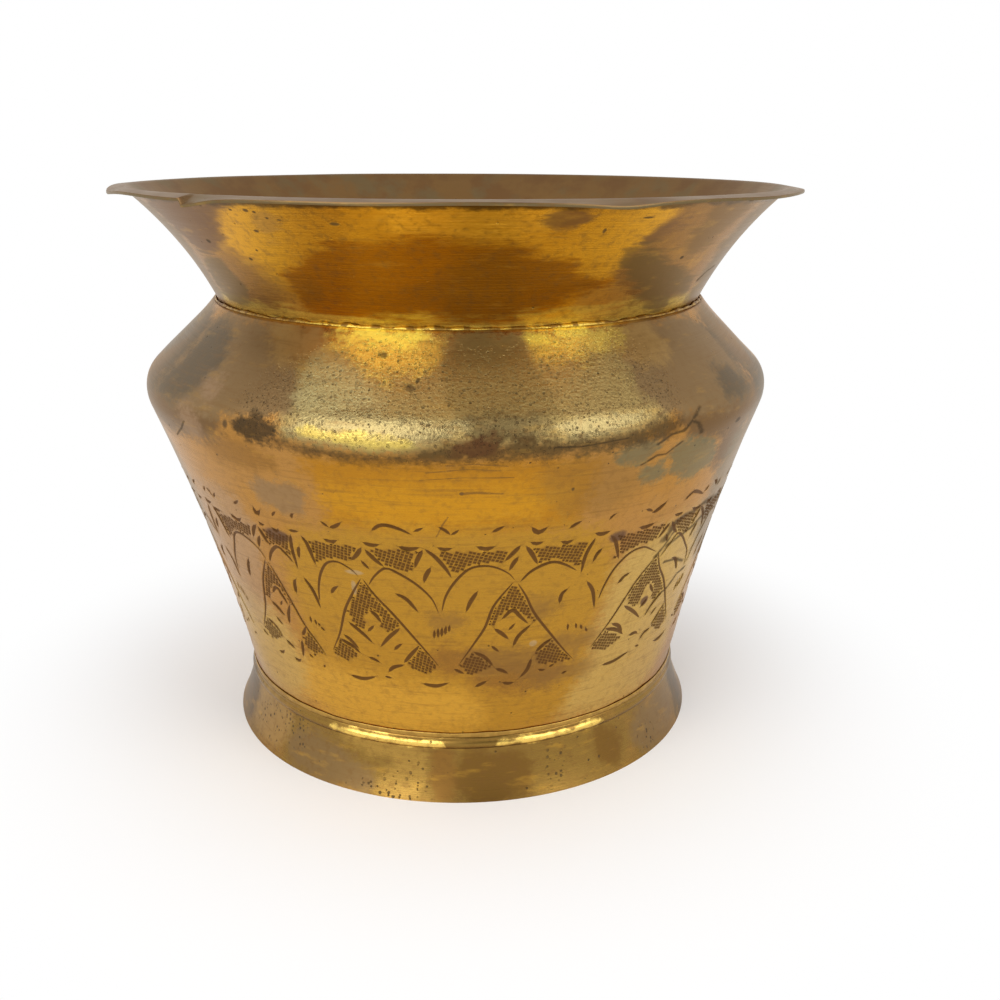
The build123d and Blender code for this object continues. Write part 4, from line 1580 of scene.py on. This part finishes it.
FLOOR_RADIUS = 12.0
FLOOR_GREY = (0.9, 0.9, 0.9)
FLOOR_FADE = 0.095, 0.21         # from the pot's axis, in metres: the floor turns into plain white
OVERHEAD = 0.85
DOME_FADE = 0.13, 0.6            # these three are heights on the unit sphere of directions
FRONT_SHADE_RISE = 0.2, 0.34
FRONT_SHADE_END = 0.85, 0.99
FRONT_SHADE_AZIMUTH = 13.0
FRONT_SHADE_HALF = 14.0
FRONT_SHADE_SOFT = 5.0
FRONT_SHADE = 0.7
SOFTBOX_DISTANCE = 1.4
SOFTBOX_AIM = 0.1
SOFTBOX_ELEVATION = 33.0
SOFTBOX_RADIANCE = 2.2
SOFTBOXES = (                    # name, azimuth, width, height, share of the radiance
    ("softbox_left", -33.0, 1.06, 1.2, 1.0),
    ("softbox_right", 51.0, 0.78, 1.1, 0.9),
)
CAMERA_PLACE = (0.01518, -0.40825, 0.21169)
CAMERA_PITCH = -18.13
CAMERA_ROLL = 0.24
CAMERA_SENSOR = 36.0
CAMERA_LENS = 39.58


def make_floor():
    """A pale floor that fades to white round the pot."""
    bpy.ops.mesh.primitive_circle_add(vertices=96, radius=FLOOR_RADIUS, fill_type="NGON")
    floor = bpy.context.object
    floor.name = "floor"
    material = bpy.data.materials.new("floor")
    material.use_nodes = True
    material.node_tree.nodes.clear()
    make = Nodes(material.node_tree)
    where = make.node("TexCoord").outputs["Object"]
    fade = make.eased(make.vector("LENGTH", where), *FLOOR_FADE)
    near = make.node("BsdfDiffuse", {"Color": FLOOR_GREY}).outputs[0]
    far = make.node("Emission").outputs[0]
    blend = make.node("MixShader", {0: fade, 1: near, 2: far}).outputs[0]
    make.node("OutputMaterial", {"Surface": blend})
    floor.data.materials.append(material)


def make_world():
    """White at the horizon, dimmer overhead, with a darker stretch behind the camera."""
    world = bpy.data.worlds.new("studio")
    bpy.context.scene.world = world
    world.use_nodes = True
    make = Nodes(world.node_tree)
    x, y, z = make.node("SeparateXYZ", {0: make.node("TexCoord").outputs["Generated"]}).outputs
    dome = make.eased(z, *DOME_FADE, 1.0, OVERHEAD)
    azimuth = make.math("ARCTAN2", x, make.math("MULTIPLY", y, -1.0))
    aside = make.math("ABSOLUTE", make.math("SUBTRACT", azimuth, radians(FRONT_SHADE_AZIMUTH)))
    inner, outer = FRONT_SHADE_HALF - FRONT_SHADE_SOFT, FRONT_SHADE_HALF + FRONT_SHADE_SOFT
    across = make.eased(aside, radians(inner), radians(outer), 1.0, 0.0)
    above = make.eased(z, *FRONT_SHADE_RISE)
    below = make.eased(z, *FRONT_SHADE_END, 1.0, 0.0)
    shade = make.math("MULTIPLY", make.math("MULTIPLY", across, above), below)
    left = make.math("SUBTRACT", 1.0, make.math("MULTIPLY", shade, FRONT_SHADE))
    strength = make.math("MULTIPLY", dome, left)
    make.feed(make.nodes["Background"], {"Color": (1, 1, 1), "Strength": strength})


def make_softbox(name, azimuth, width, height, share):
    """A large soft lamp, facing the pot from an azimuth off the camera's side."""
    turn, lift = radians(azimuth), radians(SOFTBOX_ELEVATION)
    away = Vector((math.sin(turn) * math.cos(lift), -math.cos(turn) * math.cos(lift), math.sin(lift)))
    light = bpy.data.lights.new(name, "AREA")
    light.shape = "RECTANGLE"
    light.size = width
    light.size_y = height
    light.energy = share * SOFTBOX_RADIANCE * math.pi * width * height
    lamp = bpy.data.objects.new(name, light)
    lamp.location = Vector((0, 0, SOFTBOX_AIM)) + away * SOFTBOX_DISTANCE
    lamp.rotation_euler = (-away).to_track_quat("-Z", "Y").to_euler()
    bpy.context.scene.collection.objects.link(lamp)


def make_camera():
    data = bpy.data.cameras.new("camera")
    data.sensor_width = CAMERA_SENSOR
    data.lens = CAMERA_LENS
    camera = bpy.data.objects.new("camera", data)
    camera.location = CAMERA_PLACE
    pitch = Euler((radians(90 + CAMERA_PITCH), 0, 0)).to_matrix()
    roll = Euler((0, 0, radians(CAMERA_ROLL))).to_matrix()
    camera.rotation_euler = (pitch @ roll).to_euler()
    bpy.context.scene.collection.objects.link(camera)
    bpy.context.scene.camera = camera


make_body(body_brass())
make_collar(collar_brass())
make_foot(foot_brass())
make_base_disc(base_brass())
solder = solder_metal()
for ring in SOLDER_RINGS:
    make_solder(*ring, solder)

make_floor()
make_world()
for softbox in SOFTBOXES:
    make_softbox(*softbox)
make_camera()

bpy.context.scene.view_settings.view_transform = "Standard"
